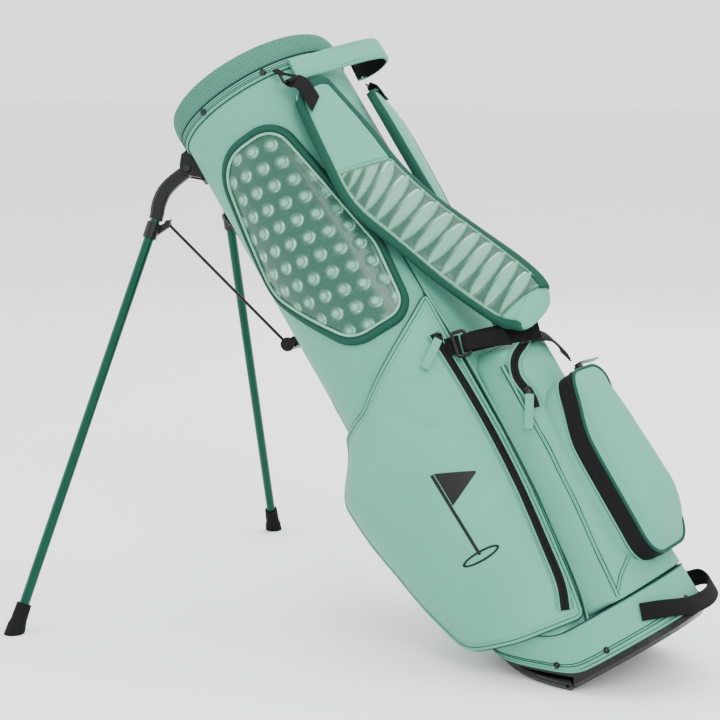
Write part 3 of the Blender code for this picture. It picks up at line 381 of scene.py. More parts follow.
def gel_material():
    """Clear film over a moulded pad, toned by the raised attribute: pale on the raised cells, deep between
    them, and the glint colour where painted highlights are.
    """
    material, tree, shader = new_material("gel_film", GEL_LOW, 0.28)
    # raised: the gel's tone, which also carries its painted highlights (glints and crescents)
    raised = node(tree, "Attribute", attribute_name="raised").outputs["Fac"]
    place = node(tree, "TexCoord").outputs["Object"]
    cloud = node(tree, "TexNoise", {"Vector": place}, Scale=260.0, Detail=3.0)
    shift = node(tree, "MapRange", {"Value": cloud.outputs["Fac"]}, To_Min=-0.16, To_Max=0.16)
    total = node(tree, "Math", {0: raised, 1: shift.outputs["Result"]}, operation="ADD")
    ramp = node(tree, "ValToRGB", {"Fac": total.outputs[0]})
    ramp.color_ramp.elements[0].color = (*GEL_LOW, 1.0)
    # the top of the ramp is the painted highlight colour
    ramp.color_ramp.elements[1].color = (*GEL_GLINT, 1.0)
    ramp.color_ramp.elements.new(0.70).color = (*GEL_HIGH, 1.0)
    tree.links.new(ramp.outputs["Color"], shader.inputs["Base Color"])
    bump(tree, shader, cloud.outputs["Fac"], 0.25, 0.0006)
    shader.inputs["Specular IOR Level"].default_value = 0.20
    shader.inputs["Coat Weight"].default_value = 0.16
    shader.inputs["Coat Roughness"].default_value = 0.10
    return material


def hard_material(name, color, roughness, metallic=0.0, scratch=0.05, coat=0.0, scale=900.0, shine=0.25):
    """Moulded plastic, rubber or metal, with a fine surface and uneven shine."""
    material, tree, shader = new_material(name, color, roughness, metallic)
    place = node(tree, "TexCoord").outputs["Object"]
    mottle(tree, shader, place, toned(color, 1.12), toned(color, 0.88), 30.0)
    grain = node(tree, "TexNoise", {"Vector": place}, Scale=scale, Detail=3.0)
    bump(tree, shader, grain.outputs["Fac"], scratch, 0.0003)
    wear = node(tree, "TexNoise", {"Vector": place}, Scale=45.0, Detail=6.0)
    spread = node(tree, "MapRange", {"Value": wear.outputs["Fac"]},
                  To_Min=max(0.02, roughness - 0.08), To_Max=roughness + 0.10)
    tree.links.new(spread.outputs["Result"], shader.inputs["Roughness"])
    shader.inputs["Coat Weight"].default_value = coat
    shader.inputs["Specular IOR Level"].default_value = shine
    return material


LOOKS = {
    "mint": fabric_material("mint_fabric", MINT),
    "mint_smooth": fabric_material("mint_piping", toned(MINT, 0.9), 0.45, 2400.0, 0.15),
    # seam lines: painted shadow round piping and in seams, with the seams' dark thread
    "shadow_seam": fabric_material("seam_shadow_and_thread", SEAM_SHADOW_AND_THREAD, 0.7, 2400.0, 0.2),
    "teal": woven_material("teal_binding", TEAL, 0.0011, 0.0022, 0.7, 0.62, 0.7),
    "knit": woven_material("cuff_knit", toned(MINT, 0.88), 0.0038, 0.0038, 1.0, 0.75, 0.38),
    "webbing": woven_material("black_webbing", toned(BLACK, 1.3), 0.0016, 0.0024, 0.8, 0.72, 0.5),
    "zip": woven_material("zip_tape", BLACK, 0.0009, 0.0014, 0.4, 0.6, 0.7),
    "lining": woven_material("grey_lining", (0.006, 0.0065, 0.0065), 0.0020, 0.0020, 0.5, 0.85, 0.7),
    "gel": gel_material(),
    "gel_bead": hard_material("gel_bead", toned(GEL_HIGH, 1.1), 0.16, 0.0, 0.05, 0.5),
    "thread": fabric_material("thread", toned(MINT, 0.55), 0.6, 3000.0, 0.1),
    "ink": fabric_material("dark_print", (0.0035, 0.0045, 0.0042), 0.5, 2400.0, 0.1),
    "plastic": hard_material("black_plastic", BLACK, 0.30, 0.0, 0.12),
    "rubber": hard_material("black_rubber", toned(BLACK, 1.2), 0.75, 0.0, 0.35, 0.0, 500.0, 0.1),
    "green_metal": hard_material("green_anodised", (0.003, 0.055, 0.033), 0.28, 0.70, 0.03, 0.05),
    "gunmetal": hard_material("gunmetal", (0.030, 0.031, 0.033), 0.22, 1.0, 0.04),
    "dull_steel": hard_material("dull_steel", (0.14, 0.14, 0.145), 0.25, 1.0, 0.04),
    "black_metal": hard_material("black_metal", (0.008, 0.008, 0.009), 0.34, 0.5, 0.06),
}


# ---- mesh building ----
def finish_mesh(name, made, look, body, slot, hides=(), uvs=None, attribute=None, sharp=50):
    """A piece from a bmesh: smooth shading, its material, the body it rides on and what it stands for."""
    mesh = bpy.data.meshes.new(name)
    made.to_mesh(mesh)
    made.free()
    mesh.materials.append(LOOKS[look])
    mesh.shade_smooth()
    mesh.set_sharp_from_angle(angle=math.radians(sharp))
    if uvs:
        lay_uvs(mesh, *uvs)
    if attribute:
        shade = mesh.attributes.new("raised", "FLOAT", "POINT")
        for index, value in enumerate(attribute):
            shade.data[index].value = value
    piece = bpy.data.objects.new(name, mesh)
    bpy.context.scene.collection.objects.link(piece)
    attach(piece, body)
    if hides:
        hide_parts(*hides)
    return piece


def lay_uvs(mesh, places, along, across):
    """UVs in metres. A face that closes a ring takes the ring's full length instead of its start."""
    layer = mesh.uv_layers.new(name="metres")
    for face in mesh.polygons:
        spots = [places[mesh.loops[k].vertex_index] for k in face.loop_indices]
        far_along = max(x for x, _ in spots) > along * 0.75 and along > 0.0
        far_across = max(y for _, y in spots) > across * 0.75 and across > 0.0
        for k, (x, y) in zip(face.loop_indices, spots):
            if far_along and x < along * 0.25:
                x += along
            if far_across and y < across * 0.25:
                y += across
            layer.data[k].uv = (x, y)


def grid(rows, ring=False):
    """A tube of faces over rows of points, joined into a ring or capped at both ends."""
    made = bmesh.new()
    verts = [[made.verts.new(point) for point in row] for row in rows]
    row_count = len(verts)
    column_count = len(verts[0])
    for i in range(row_count if ring else row_count - 1):
        for j in range(column_count):
            made.faces.new((verts[i][j], verts[i][(j + 1) % column_count],
                            verts[(i + 1) % row_count][(j + 1) % column_count],
                            verts[(i + 1) % row_count][j]))
    if not ring:
        made.faces.new(verts[0])
        made.faces.new(verts[-1])
    bmesh.ops.recalc_face_normals(made, faces=made.faces)
    return made


def shell(name, rows, look, body, slot, hides=(), ring=False, **finish):
    """A piece over rows of points, with its places in metres."""
    return finish_mesh(name, grid(rows, ring), look, body, slot, hides, uvs=measure(rows), **finish)


def measure(rows):
    """Places in metres over a grid: along the rows' order and along each row, and both full lengths."""
    places = []
    along = 0.0
    widest = 0.0
    for index, row in enumerate(rows):
        if index:
            along += (Vector(row[0]) - Vector(rows[index - 1][0])).length
        across = 0.0
        for place, point in enumerate(row):
            if place:
                across += (Vector(point) - Vector(row[place - 1])).length
            places.append((along, across))
        widest = max(widest, across + (Vector(row[0]) - Vector(row[-1])).length)
    return places, along + (Vector(rows[0][0]) - Vector(rows[-1][0])).length, widest


def bar(points, radius, sides=8, closed=False, flat=1.0, normals=None):
    """Sections of a round or flattened bar along points; flat is its height over its width."""
    points = [Vector(p) for p in points]
    count = len(points)
    rows = []
    side = None
    for index, point in enumerate(points):
        before = points[index - 1] if index or closed else point
        after = points[(index + 1) % count] if index < count - 1 or closed else point
        forward = (after - before).normalized()
        if normals:
            up = Vector(normals[index])
            side = forward.cross(up).normalized()
        elif side is None:
            seed = Vector((0.0, 0.0, 1.0)) if abs(forward.z) < 0.9 else Vector((1.0, 0.0, 0.0))
            side = forward.cross(seed).normalized()
        else:
            side = (side - side.dot(forward) * forward).normalized()
        up = side.cross(forward).normalized()
        turns = full_turn(sides)
        rows.append([point + radius * (side * math.cos(t) + up * math.sin(t) * flat) for t in turns])
    return rows


def edged(name, points, normals, radius, look="mint_smooth", body="bag", closed=False):
    """Piping over a dark strip in the seam-shadow look: painted shadow round the piping, with the seam's dark
    thread.
    """
    low = lifted(points, normals, -radius * 0.55)
    piping(name + "_seam", low, radius * 1.75, "shadow_seam", body, closed=closed, flat=0.42, normals=normals)
    return piping(name, points, radius, look, body, closed=closed, normals=normals)


def outward(points):
    return [(point - tube_axis(point)).normalized() for point in points]


def lifted(points, normals, out):
    return [point + normal * out for point, normal in zip(points, normals)]


def piping(name, points, radius, look="mint_smooth", body="bag", slot="mint_fabric", closed=False, flat=1.0,
           normals=None, hides=(), sides=8):
    rows = bar(points, radius, sides, closed, flat, normals)
    return shell(name, rows, look, body, slot, hides, ring=closed)


def lie(face, route, out=0.0, steps=8, spacing=0.004):
    """Points and outward normals of a smooth route of (a, b) places on a face."""
    path = even([(p.x, p.y) for p in smooth_path([(a, b, 0.0) for a, b in route], steps)], spacing)
    points = []
    normals = []
    for p in path:
        point = face(p.x, p.y)
        normal = normal_of(face, p.x, p.y, tube_axis(point))
        points.append(point + normal * out)
        normals.append(normal)
    return points, normals


def tape(name, points, normals, width, thickness, look, body="bag", slot="black_webbing", hides=(), lift=0.0,
         ridge=0.0, columns=9, notch=0.0):
    """A strip with a crowned face and closed edges; ridge raises its middle line, and notch cuts a V into
    its far end, or a slant where it is negative."""
    points = [Vector(p) for p in points]
    rows = []
    for index, point in enumerate(points):
        forward = forward_at(points, index)
        normal = Vector(normals[index])
        normal = (normal - normal.dot(forward) * forward).normalized()
        side = forward.cross(normal)
        half = width / 2
        near_end = max(0.0, 1.0 - (len(points) - 1 - index) / 4.0) if notch else 0.0
        top = []
        for column in range(columns):
            x = 2.0 * column / (columns - 1) - 1.0
            height = thickness * (1.0 - 0.35 * abs(x) ** 6) + ridge * math.exp(-(x * 9.0) ** 2)
            cut = notch * (1.0 - abs(x)) if notch > 0 else -notch * (1.0 - x) / 2.0
            top.append(point + side * half * x + normal * (lift + height) - forward * cut * near_end)
        end_cut = [0.0, 0.0] if notch >= 0 else [0.0, -notch]
        low = [point + side * half * w + normal * lift - forward * c * near_end
               for w, c in zip((1.0, 0.0, -1.0) if notch > 0 else (1.0, -1.0),
                               (0.0, notch, 0.0) if notch > 0 else end_cut)]
        rows.append(top + low)
    return shell(name, rows, look, body, slot, hides)


def stitches(name, points, normals, body="bag", slot="mint_fabric", length=0.0026, pitch=0.0038,
             radius=0.00036,
             look="thread"):
    """A row of thread stitches, each a small sunk bead."""
    line = even(points, pitch)
    made = bmesh.new()
    for index, point in enumerate(line[:-1]):
        share = index / max(1, len(line) - 1)
        normal = Vector(normals[min(len(normals) - 1, round(share * (len(normals) - 1)))])
        forward = (line[index + 1] - point).normalized()
        side = forward.cross(normal).normalized()
        rows = []
        for x, r in ((-0.5, 0.25), (-0.3, 1.0), (0.3, 1.0), (0.5, 0.25)):
            centre = point + forward * length * x + normal * radius * (0.6 * r - 0.4)
            rows.append([made.verts.new(centre + radius * r * (side * math.cos(t) + normal * math.sin(t)))
                         for t in full_turn(5)])
        for low, high in zip(rows, rows[1:]):
            for k in range(5):
                made.faces.new((low[k], low[(k + 1) % 5], high[(k + 1) % 5], high[k]))
        made.faces.new(rows[0])
        made.faces.new(rows[-1])
    bmesh.ops.recalc_face_normals(made, faces=made.faces)
    return finish_mesh(name, made, look, body, slot)


RIM = ((0.0, 0.0), (0.0003, 0.35), (0.0009, 0.60), (0.0019, 0.80), (0.0033, 0.93), (0.0052, 1.0),
       (0.0075, 1.0))


def patch(name, face, outline, centre, look, body, slot, hides=(), rings=14, rim=RIM, attribute=None):
    """A filled face over a closed outline. face(a, b, lift, depth) gives the point: the rim's (distance
    from the outline, lift) pairs roll the edge up, and depth is the share of the way to the centre."""
    made = bmesh.new()
    loops = []
    shades = []
    spread = [Vector(p) for p in outline]
    for distance, lift in rim:
        loop = inset(outline, distance, 2) if distance else spread
        loops.append([(p.x, p.y, lift, 0.0) for p in loop])
        last = loop
    middle = Vector(centre)
    for step in range(1, rings):
        share = step / rings
        loops.append([(*p.lerp(middle, share), 1.0, share) for p in last])
    verts = []
    for loop in loops:
        row = []
        for a, b, lift, depth in loop:
            row.append(made.verts.new(face(a, b, lift, depth)))
            if attribute:
                shades.append(attribute(a, b))
        verts.append(row)
    top = made.verts.new(face(middle.x, middle.y, 1.0, 1.0))
    if attribute:
        shades.append(attribute(middle.x, middle.y))
    count = len(outline)
    for low, high in zip(verts, verts[1:]):
        for k in range(count):
            made.faces.new((low[k], low[(k + 1) % count], high[(k + 1) % count], high[k]))
    for k in range(count):
        made.faces.new((verts[-1][k], verts[-1][(k + 1) % count], top))
    bmesh.ops.recalc_face_normals(made, faces=made.faces)
    return finish_mesh(name, made, look, body, slot, hides, attribute=shades or None, sharp=70)


# ---- camera, lights and floor ----
LENS = 83.82
AZIMUTH = math.radians(31.90)
ELEVATION = math.radians(9.77)
LOOKED_AT = Vector((-0.2941, 0.0, 0.3521))
CAMERA_DISTANCE = 2.211
LIT_SPOT = (-0.29, 0.0, 0.38)
LAMPS = (("key", (1.9, -1.9, 2.4), 1.5, 76.0), ("fill", (-2.4, -1.8, 1.5), 2.0, 24.0),
         ("top", (0.4, 0.6, 3.2), 2.2, 52.0), ("rim", (-1.2, 2.6, 1.6), 1.8, 20.0))


def aim(thing, location, target):
    thing.location = location
    thing.rotation_mode = "QUATERNION"
    thing.rotation_quaternion = (Vector(target) - Vector(location)).to_track_quat("-Z", "Y")


def set_camera():
    camera = bpy.data.objects.new("camera", bpy.data.cameras.new("camera"))
    bpy.context.scene.collection.objects.link(camera)
    camera.data.sensor_width = 36.0
    camera.data.lens = LENS
    camera.data.clip_end = 60.0
    back = Vector((math.sin(AZIMUTH) * math.cos(ELEVATION), -math.cos(AZIMUTH) * math.cos(ELEVATION),
                   math.sin(ELEVATION)))
    aim(camera, LOOKED_AT + back * CAMERA_DISTANCE, LOOKED_AT)
    bpy.context.scene.camera = camera


def set_lights():
    scene = bpy.context.scene
    world = bpy.data.worlds.new("studio")
    scene.world = world
    world.use_nodes = True
    background = world.node_tree.nodes["Background"]
    background.inputs["Color"].default_value = (1.0, 1.0, 1.0, 1.0)
    background.inputs["Strength"].default_value = 1.9
    for name, place, size, power in LAMPS:
        light = bpy.data.lights.new(name, "AREA")
        light.shape = "SQUARE"
        light.size = size
        light.energy = power
        lamp = bpy.data.objects.new(name, light)
        scene.collection.objects.link(lamp)
        aim(lamp, place, LIT_SPOT)
    floor = bmesh.new()
    bmesh.ops.create_grid(floor, x_segments=2, y_segments=2, size=30.0)
    mesh = bpy.data.meshes.new("floor")
    floor.to_mesh(mesh)
    floor.free()
    material, tree, shader = new_material("pale_floor", (0.93, 0.93, 0.93), 0.9)
    place = node(tree, "TexCoord").outputs["Object"]
    mottle(tree, shader, place, (0.94, 0.94, 0.94), (0.92, 0.92, 0.92), 3.0)
    mesh.materials.append(material)
    plane = bpy.data.objects.new("floor", mesh)
    scene.collection.objects.link(plane)
    plane.location.z = -0.0005


set_camera()
set_lights()


# ---- fabric skins, with the unevenness of sewn fabric ----
def crease(a, b, line, depth, width):
    """A dent along a line of (a, b) places."""
    here = Vector((a, b))
    nearest = 1.0
    for start, end in zip(line, line[1:]):
        start, end = Vector(start), Vector(end)
        way = end - start
        share = min(1.0, max(0.0, (here - start).dot(way) / way.length_squared))
        nearest = min(nearest, (here - start - way * share).length)
    return -depth * math.exp(-(nearest / width) ** 2)


POCKET_CREASES = [([(0.012, 0.399), (0.033, 0.371), (0.054, 0.345), (0.083, 0.309)], 0.0022, 0.006),
                  ([(0.020, 0.405), (0.047, 0.388), (0.078, 0.360)], 0.0012, 0.008),
                  ([(-0.060, 0.398), (-0.030, 0.372), (-0.012, 0.330)], 0.0014, 0.012)]


def panel_skin(arc, u, out=0.0):
    return on_tube(arc, u, out + wrinkle(Vector((arc, u, 0.3)), 0.09, 0.0007))


def apparel_skin(arc, u, out=0.0):
    dents = sum(crease(arc, u, *each) for each in POCKET_CREASES)
    height = apparel_height(arc, u)
    calm = smooth((height - 0.003) / 0.006)
    uneven = wrinkle(Vector((arc, u, 0.0)), 0.085, 0.0013) + wrinkle(Vector((arc, u, 4.0)), 0.022, 0.00025)
    return on_tube(arc, u, height + out + (dents + uneven) * calm)


def far_apparel_skin(arc, u, out=0.0):
    point = apparel_skin(arc, u, out)
    return Vector((point.x, -point.y, point.z))


def block_skin(y, u, out=0.0):
    uneven = wrinkle(Vector((y, u, 9.0)), 0.06, 0.0010)
    return bag(block_q(y, u) + out + uneven, y, u)


def ball_lid_q(y, u, share):
    edge = ball_edge_q(u)
    return edge + (BALL_Q - edge) * (1.0 - share ** 3)


# ---- tube: four panels, collar, cuff and dividers ----
PANELS = {"near_side_panel": (-50, 60), "strap_side_panel": (60, 120), "far_side_panel": (120, 230),
          "spine_panel": (230, 310)}


def build_panels():
    for name, (low, high) in PANELS.items():
        first = math.radians(low)
        last = math.radians(high)
        steps = round((high - low) / 2.0)
        rows = []
        for step in range(steps + 1):
            angle = first + (last - first) * step / steps
            arc = angle * TUBE_MEAN
            from_edge = min(angle - first, last - angle) * TUBE_MEAN
            tuck = -0.0012 * math.exp(-(from_edge / 0.0022) ** 2)
            bottom = seam_line(angle) + 0.0004
            heights = [bottom + (CUFF_LOW - bottom) * k / 70 for k in range(71)]
            outside = [panel_skin(arc, u, tuck) for u in heights]
            inside = [on_tube(arc, u, -WALL) for u in reversed(heights[::10])]
            rows.append(outside + inside)
        piece = shell(name + "_cover", rows, "mint", "bag", "mint_fabric", [name])
        line_inside(piece)
        seam = [on_tube(first * TUBE_MEAN, u, -0.0006) for u in frange(seam_line(first), CUFF_LOW, 0.01)]
        piping(name + "_seam", seam, 0.0009, "shadow_seam")


def frange(low, high, step):
    count = max(1, round((high - low) / step))
    return [low + (high - low) * k / count for k in range(count + 1)]


def line_inside(piece):
    """Lining on the faces that look at the tube's axis."""
    piece.data.materials.append(LOOKS["lining"])
    for face in piece.data.polygons:
        middle = Vector(face.center)
        away = middle - tube_axis(middle)
        if face.normal.dot(away.normalized()) < -0.3 and away.length < 0.1205:
            face.material_index = 1


def build_collar():
    stations = [(0.8455, 0.0004), (0.8457, 0.0022), (0.8466, 0.0030), (0.8500, 0.0033), (0.8550, 0.0033),
                (0.8566, 0.0028), (0.8571, 0.0016), (0.8571, 0.0004)]
    rows = []
    for angle in full_turn(180):
        rows.append([around(angle, tube_radius(angle) + out, u) for u, out in stations])
    shell("collar_cover", rows, "mint", "bag", "mint_fabric", ["collar_band"], ring=True)

    profile = [(0.0030, 0.0), (0.0046, 0.006), (0.0046, 0.013), (0.0036, 0.021), (0.0008, 0.0275),
               (-0.0052, 0.0312), (-0.0115, 0.0285), (-0.0145, 0.020), (-0.0140, 0.009),
               (-0.0125, 0.001), (-0.0050, 0.0004)]
    fine = smooth_path([(a, b, 0.0) for a, b in profile + profile[:1]], 4)[:-1]
    rows = []
    for angle in full_turn(240):
        row = []
        for p in fine:
            uneven = wrinkle(around(angle, 0.12, p.y), 0.035, 0.0004)
            row.append(around(angle, tube_radius(angle) + p.x + uneven, CUFF_LOW + p.y))
        rows.append(row)
    cuff = shell("cuff", rows, "knit", "bag", "mint_mesh", ["cuff_pad"], ring=True)
    # dark lines in the seam-shadow look: painted shade in the groove under the cuff, and a painted shadow
    # line below it and below the collar piping
    for name, u, out, radius, look in (("cuff_seam", 0.8573, 0.0032, 0.0009, "shadow_seam"),
                                       ("collar_piping", 0.8452, 0.0012, 0.0012, "mint_smooth")):
        line = tube_ring(u, out)
        piping(name, line, radius, look, closed=True)
        below = [point - bag_direction(0.0, 0.0, 0.0016) - away * 0.0006
                 for point, away in zip(line, outward(line))]
        piping(name + "_line", below, 0.0009, "shadow_seam", closed=True)
    # thin dark lines round the collar band, in the seam-shadow look: painted shade of its grooves
    for k, u in enumerate((0.8478, 0.8505, 0.8532)):
        line = tube_ring(u, 0.0033)
        piping("collar_line_" + str(k + 1), line, 0.00055, "shadow_seam", closed=True)
    turns = full_turn(300, 1)
    line = [around(t, tube_radius(t) + 0.0034, 0.8492) for t in turns]
    stitches("collar_stitches", line, [around(t, 1.0, 0.0) - around(t, 0.0, 0.0) for t in turns])


DIVIDER_LOW = 0.785


def build_dividers():
    half = 0.0040
    for name, reach, across in (("divider_across", TUBE_HALF_Y - WALL - 0.0016, True),
                                ("divider_along", TUBE_HALF_Q - WALL - 0.0016, False)):
        profile = [(-half, DIVIDER_LOW), (-half, 0.848), (-half * 0.8, 0.8535), (0.0, 0.8562),
                   (half * 0.8, 0.8535), (half, 0.848), (half, DIVIDER_LOW)]
        rows = []
        for place in frange(-reach, reach, 0.006):
            swell = 1.0 + 0.12 * noise.noise(Vector((place / 0.03, 0.0, 1.0 if across else 5.0)))
            row = []
            for side, u in profile:
                side *= swell if u > 0.79 else 1.0
                row.append(bag(TUBE_Q + side, place, u) if across else bag(TUBE_Q + place, side, u))
            rows.append(row)
        pad = shell(name, rows, "lining", "bag", "black_webbing", ["club_divider"])

    reach = TUBE_HALF_Y - WALL - 0.0016
    low = seam_line(0.0) + 0.004
    rows = []
    for y in frange(-reach, reach, 0.008):
        bow = [0.003 * math.sin(u * 9.0 + y * 30.0) * smooth((DIVIDER_LOW - u) / 0.05)
               for u in frange(low, DIVIDER_LOW, 0.02)]
        heights = frange(low, DIVIDER_LOW, 0.02)
        front = [bag(TUBE_Q + b + 0.0005, y, u) for b, u in zip(bow, heights)]
        back = [bag(TUBE_Q + b - 0.0005, y, u) for b, u in zip(reversed(bow), reversed(heights))]
        rows.append(front + back)
    web = shell("divider_cloth", rows, "lining", "bag", "black_webbing", ["divider_sheet"])


# ---- base ----
def build_boot():
    rows = []
    for angle in full_turn(180):
        arc = angle * TUBE_MEAN
        row = []
        for share in frange(0.0, 1.0, 0.07):
            uneven = wrinkle(Vector((math.cos(angle), math.sin(angle), share * 0.5)), 0.4, 0.0008)
            tuck = -0.0012 * (math.exp(-(share / 0.03) ** 2) + math.exp(-((1.0 - share) / 0.03) ** 2))
            row.append(boot(arc, share, uneven + tuck))
        row += [boot(arc, share, -WALL) for share in (1.0, 0.5, 0.0)]
        rows.append(row)
    shell("boot_cover", rows, "mint", "bag", "mint_fabric", ["boot_band"], ring=True)
    arcs = [angle * TUBE_MEAN for angle in full_turn(200)]
    seam = [boot(arc, 1.0, -0.0003) for arc in arcs]
    piping("boot_seam", seam, 0.0009, "shadow_seam", closed=True)
    low = [boot(arc, 0.04, 0.0004) for arc in arcs]
    edged("base_piping", low, outward(low), 0.0017, closed=True)
    for word, share in (("high", 0.23), ("low", 0.17)):
        line = [boot(arc, share, 0.0006) for arc in arcs]
        piping("base_line_" + word, line, 0.00055, "shadow_seam", closed=True)
    for k, (arc, share) in enumerate(((0.029, 0.20), (0.087, 0.20), (0.176, 0.30), (-0.087, 0.20))):
        point = boot(arc, share, 0.0008)
        rivet("base_rivet_" + str(k + 1), point, (point - tube_axis(point)).normalized())


# (share of the radius, height in metres) pairs
STUD = ((0.72, 0.0), (0.70, 0.0009), (0.52, 0.0019), (0.24, 0.0025))
STUD_RING = ((0.98, 0.0), (1.0, 0.0007), (0.90, 0.0013), (0.76, 0.0010), (0.70, 0.0))


def rivet(name, point, normal, radius=0.0042):
    """A domed stud in a bright ring."""
    side = normal.orthogonal().normalized()
    other = normal.cross(side)
    turns = full_turn(24)
    for word, look, profile in (("_stud", "gunmetal", STUD), ("_ring", "dull_steel", STUD_RING)):
        rows = [[point + (side * math.cos(t) + other * math.sin(t)) * radius * r + normal * h for t in turns]
                for r, h in profile]
        finish_mesh(name + word, grid(rows), look, "bag", "black_metal")


SLEEVE_LOW = 0.235
SLEEVE_HIGH = 0.470


def build_spine_sleeve():
    outer_q = -0.1545
    wall_q = TUBE_Q - TUBE_HALF_Q - 0.0009
    depth = wall_q - outer_q + 0.0075
    rows = []
    for u in frange(SLEEVE_LOW, SLEEVE_HIGH, 0.005):
        end = min(u - SLEEVE_LOW, SLEEVE_HIGH - u)
        swell = 0.0008 * noise.noise(Vector((u / 0.03, 2.0, 0.0))) - 0.0006 * math.exp(-(end / 0.004) ** 2)
        outer = [(math.cos(math.pi * k / 20), math.sin(math.pi * k / 20)) for k in range(21)]
        row = [bag(wall_q - (depth + swell) * s, (0.0105 + swell) * c, u) for c, s in outer]
        row += [bag(wall_q - (depth - 0.002) * s, 0.0085 * c, u) for c, s in reversed(outer)]
        rows.append(row)
    shell("spine_tunnel", rows, "mint", "bag", "mint_fabric", ["spine_sleeve"])


# ---- hip pad ----
HIP_CORNERS = [(-0.035, 0.793, 0.060), (0.070, 0.793, 0.042), (0.108, 0.590, 0.06), (0.098, 0.486, 0.036),
               (0.010, 0.484, 0.05), (-0.079, 0.610, 0.06)]
BUBBLE_ORIGIN = (0.0259, 0.7147)
BUBBLE_ACROSS = (0.0235, -0.0060)
BUBBLE_DOWN = (0.0017, -0.0265)
BUBBLE_RADIUS = 0.0080


def from_bubble(arc, u):
    """Offset from the nearest gel bubble's middle, in bubble radii."""
    a, u0 = arc - BUBBLE_ORIGIN[0], u - BUBBLE_ORIGIN[1]
    spread = BUBBLE_ACROSS[0] * BUBBLE_DOWN[1] - BUBBLE_ACROSS[1] * BUBBLE_DOWN[0]
    column = round((a * BUBBLE_DOWN[1] - u0 * BUBBLE_DOWN[0]) / spread)
    row = round((u0 * BUBBLE_ACROSS[0] - a * BUBBLE_ACROSS[1]) / spread)
    middle = Vector((column * BUBBLE_ACROSS[0] + row * BUBBLE_DOWN[0],
                     column * BUBBLE_ACROSS[1] + row * BUBBLE_DOWN[1]))
    return (Vector((a, u0)) - middle) / BUBBLE_RADIUS


def bubble(arc, u):
    """Height share of the gel bubbles: a dome with a firmer rim."""
    distance = from_bubble(arc, u).length
    ridge = 0.18 * math.exp(-((distance - 0.72) / 0.16) ** 2)
    return 0.82 * smooth((1.08 - distance) / 0.42) + ridge


def bubble_tone_and_highlight(arc, u):
    """Paleness of the gel: a cloudy core, a dark ring, and a thin pale edge where the film is squeezed,
    brightened on the bubble's lower side into a painted highlight crescent.
    """
    away = from_bubble(arc, u)
    distance = away.length
    # lower_edge turns the pale edge into a painted highlight crescent on the bubble's lower side
    lower_edge = smooth((away.x - away.y) / max(0.01, distance) * 0.6 + 0.25)
    core = 0.66 * smooth((0.80 - distance) / 0.42)
    pinched_edge_and_highlight = (0.16 + 0.90 * lower_edge * lower_edge) * math.exp(-((distance - 0.88) / 0.12) ** 2)
    return core + pinched_edge_and_highlight + 0.08 * smooth((1.4 - distance) / 0.4)


def build_hip_pad():
    outline = even(rounded(HIP_CORNERS, 10), 0.0018, closed=True)
    inner = outline
    for _ in range(4):
        inner = inset(inner, 0.0026, 3)

    def gel(arc, u, lift, depth):
        raised = bubble(arc, u) * (1.0 if depth > 0.12 else depth / 0.12)
        crown = 0.0042 + 0.0030 * (1.0 - (1.0 - depth) ** 4)
        return on_tube(arc, u, crown * (0.4 + 0.6 * lift) + 0.0034 * raised)

    pad = patch("hip_pad_gel", gel, inner, (0.020, 0.640), "gel", "bag", "teal_gel", ["hip_pad"], rings=84,
                attribute=bubble_tone_and_highlight)

    rows = []
    count = len(outline)
    steps = 10
    for k in range(count):
        a, b = outline[k], inner[k]
        row = []
        for j in range(steps + 1):
            share = j / steps
            p = a.lerp(b, share * 1.12)
            lift = math.sin(math.pi * min(1.0, share * 0.94 + 0.03)) ** 0.45
            row.append(on_tube(p.x, p.y, 0.0006 + 0.0072 * lift))
        row += [on_tube(p.x, p.y, 0.0003) for p in (a.lerp(b, 1.0), a)]
        rows.append(row)
    shell("hip_pad_binding", rows, "teal", "bag", "mint_fabric", ["hip_pad"], ring=True)
    middle = [a.lerp(b, 0.84) for a, b in zip(outline, inner)]
    rim = [on_tube(p.x, p.y, 0.0052) for p in inset(inner, 0.0016, 3)]
    piping("hip_pad_rim", rim, 0.0019, "gel_bead", slot="teal_gel", closed=True)
    line = [on_tube(p.x, p.y, 0.0070) for p in middle]
    line.append(line[0])
    out = [point - tube_axis(point) for point in line]
    stitches("hip_pad_stitches", line, [n.normalized() for n in out], look="ink")


# ---- side pockets ----
def apparel_outline():
    corners = [(0.121, 0.506, 0.004), (-0.020, 0.416, 0.03), (-0.108, 0.402, 0.022), (-0.111, 0.190, 0.06),
               (-0.060, 0.100, 0.05), (0.010, 0.080, 0.05), (split_arc(0.068) - 0.001, 0.068, 0.006)]
    corners += [(split_arc(u) - 0.001, u, 0.2) for u in (0.115, 0.175, 0.235, 0.310, 0.400)]
    return even(rounded(corners, 8), 0.0045, closed=True)


def build_side_pocket(name, skin, hides):
    outline = apparel_outline()

    def face(arc, u, lift, depth):
        height = apparel_height(arc, u)
        return skin(arc, u, -(height - 0.0006) * (1.0 - lift))

    patch(name, face, outline, (0.0, 0.270), "mint", "bag", "mint_fabric", [hides], rings=46)
    edge = inset(outline, 0.0022, 2)
    line = [skin(p.x, p.y, 0.0002) for p in edge]
    edged(name + "_piping", line, outward(line), 0.0019, closed=True)
    inner = [skin(p.x, p.y, 0.0001) for p in inset(edge, 0.0065, 4)]
    inner.append(inner[0])
    normals = [(point - tube_axis(point)).normalized() for point in inner]
    stitches(name + "_stitches", inner, normals)


PANEL_PIPING = [(0.122, 0.507), (0.125, 0.388), (0.117, 0.233), (0.101, 0.109), (0.089, 0.062)]
APPAREL_ZIP = [(0.100, 0.453), (0.1025, 0.357), (0.099, 0.261), (0.089, 0.170), (0.082, 0.118),
               (0.071, 0.086)]


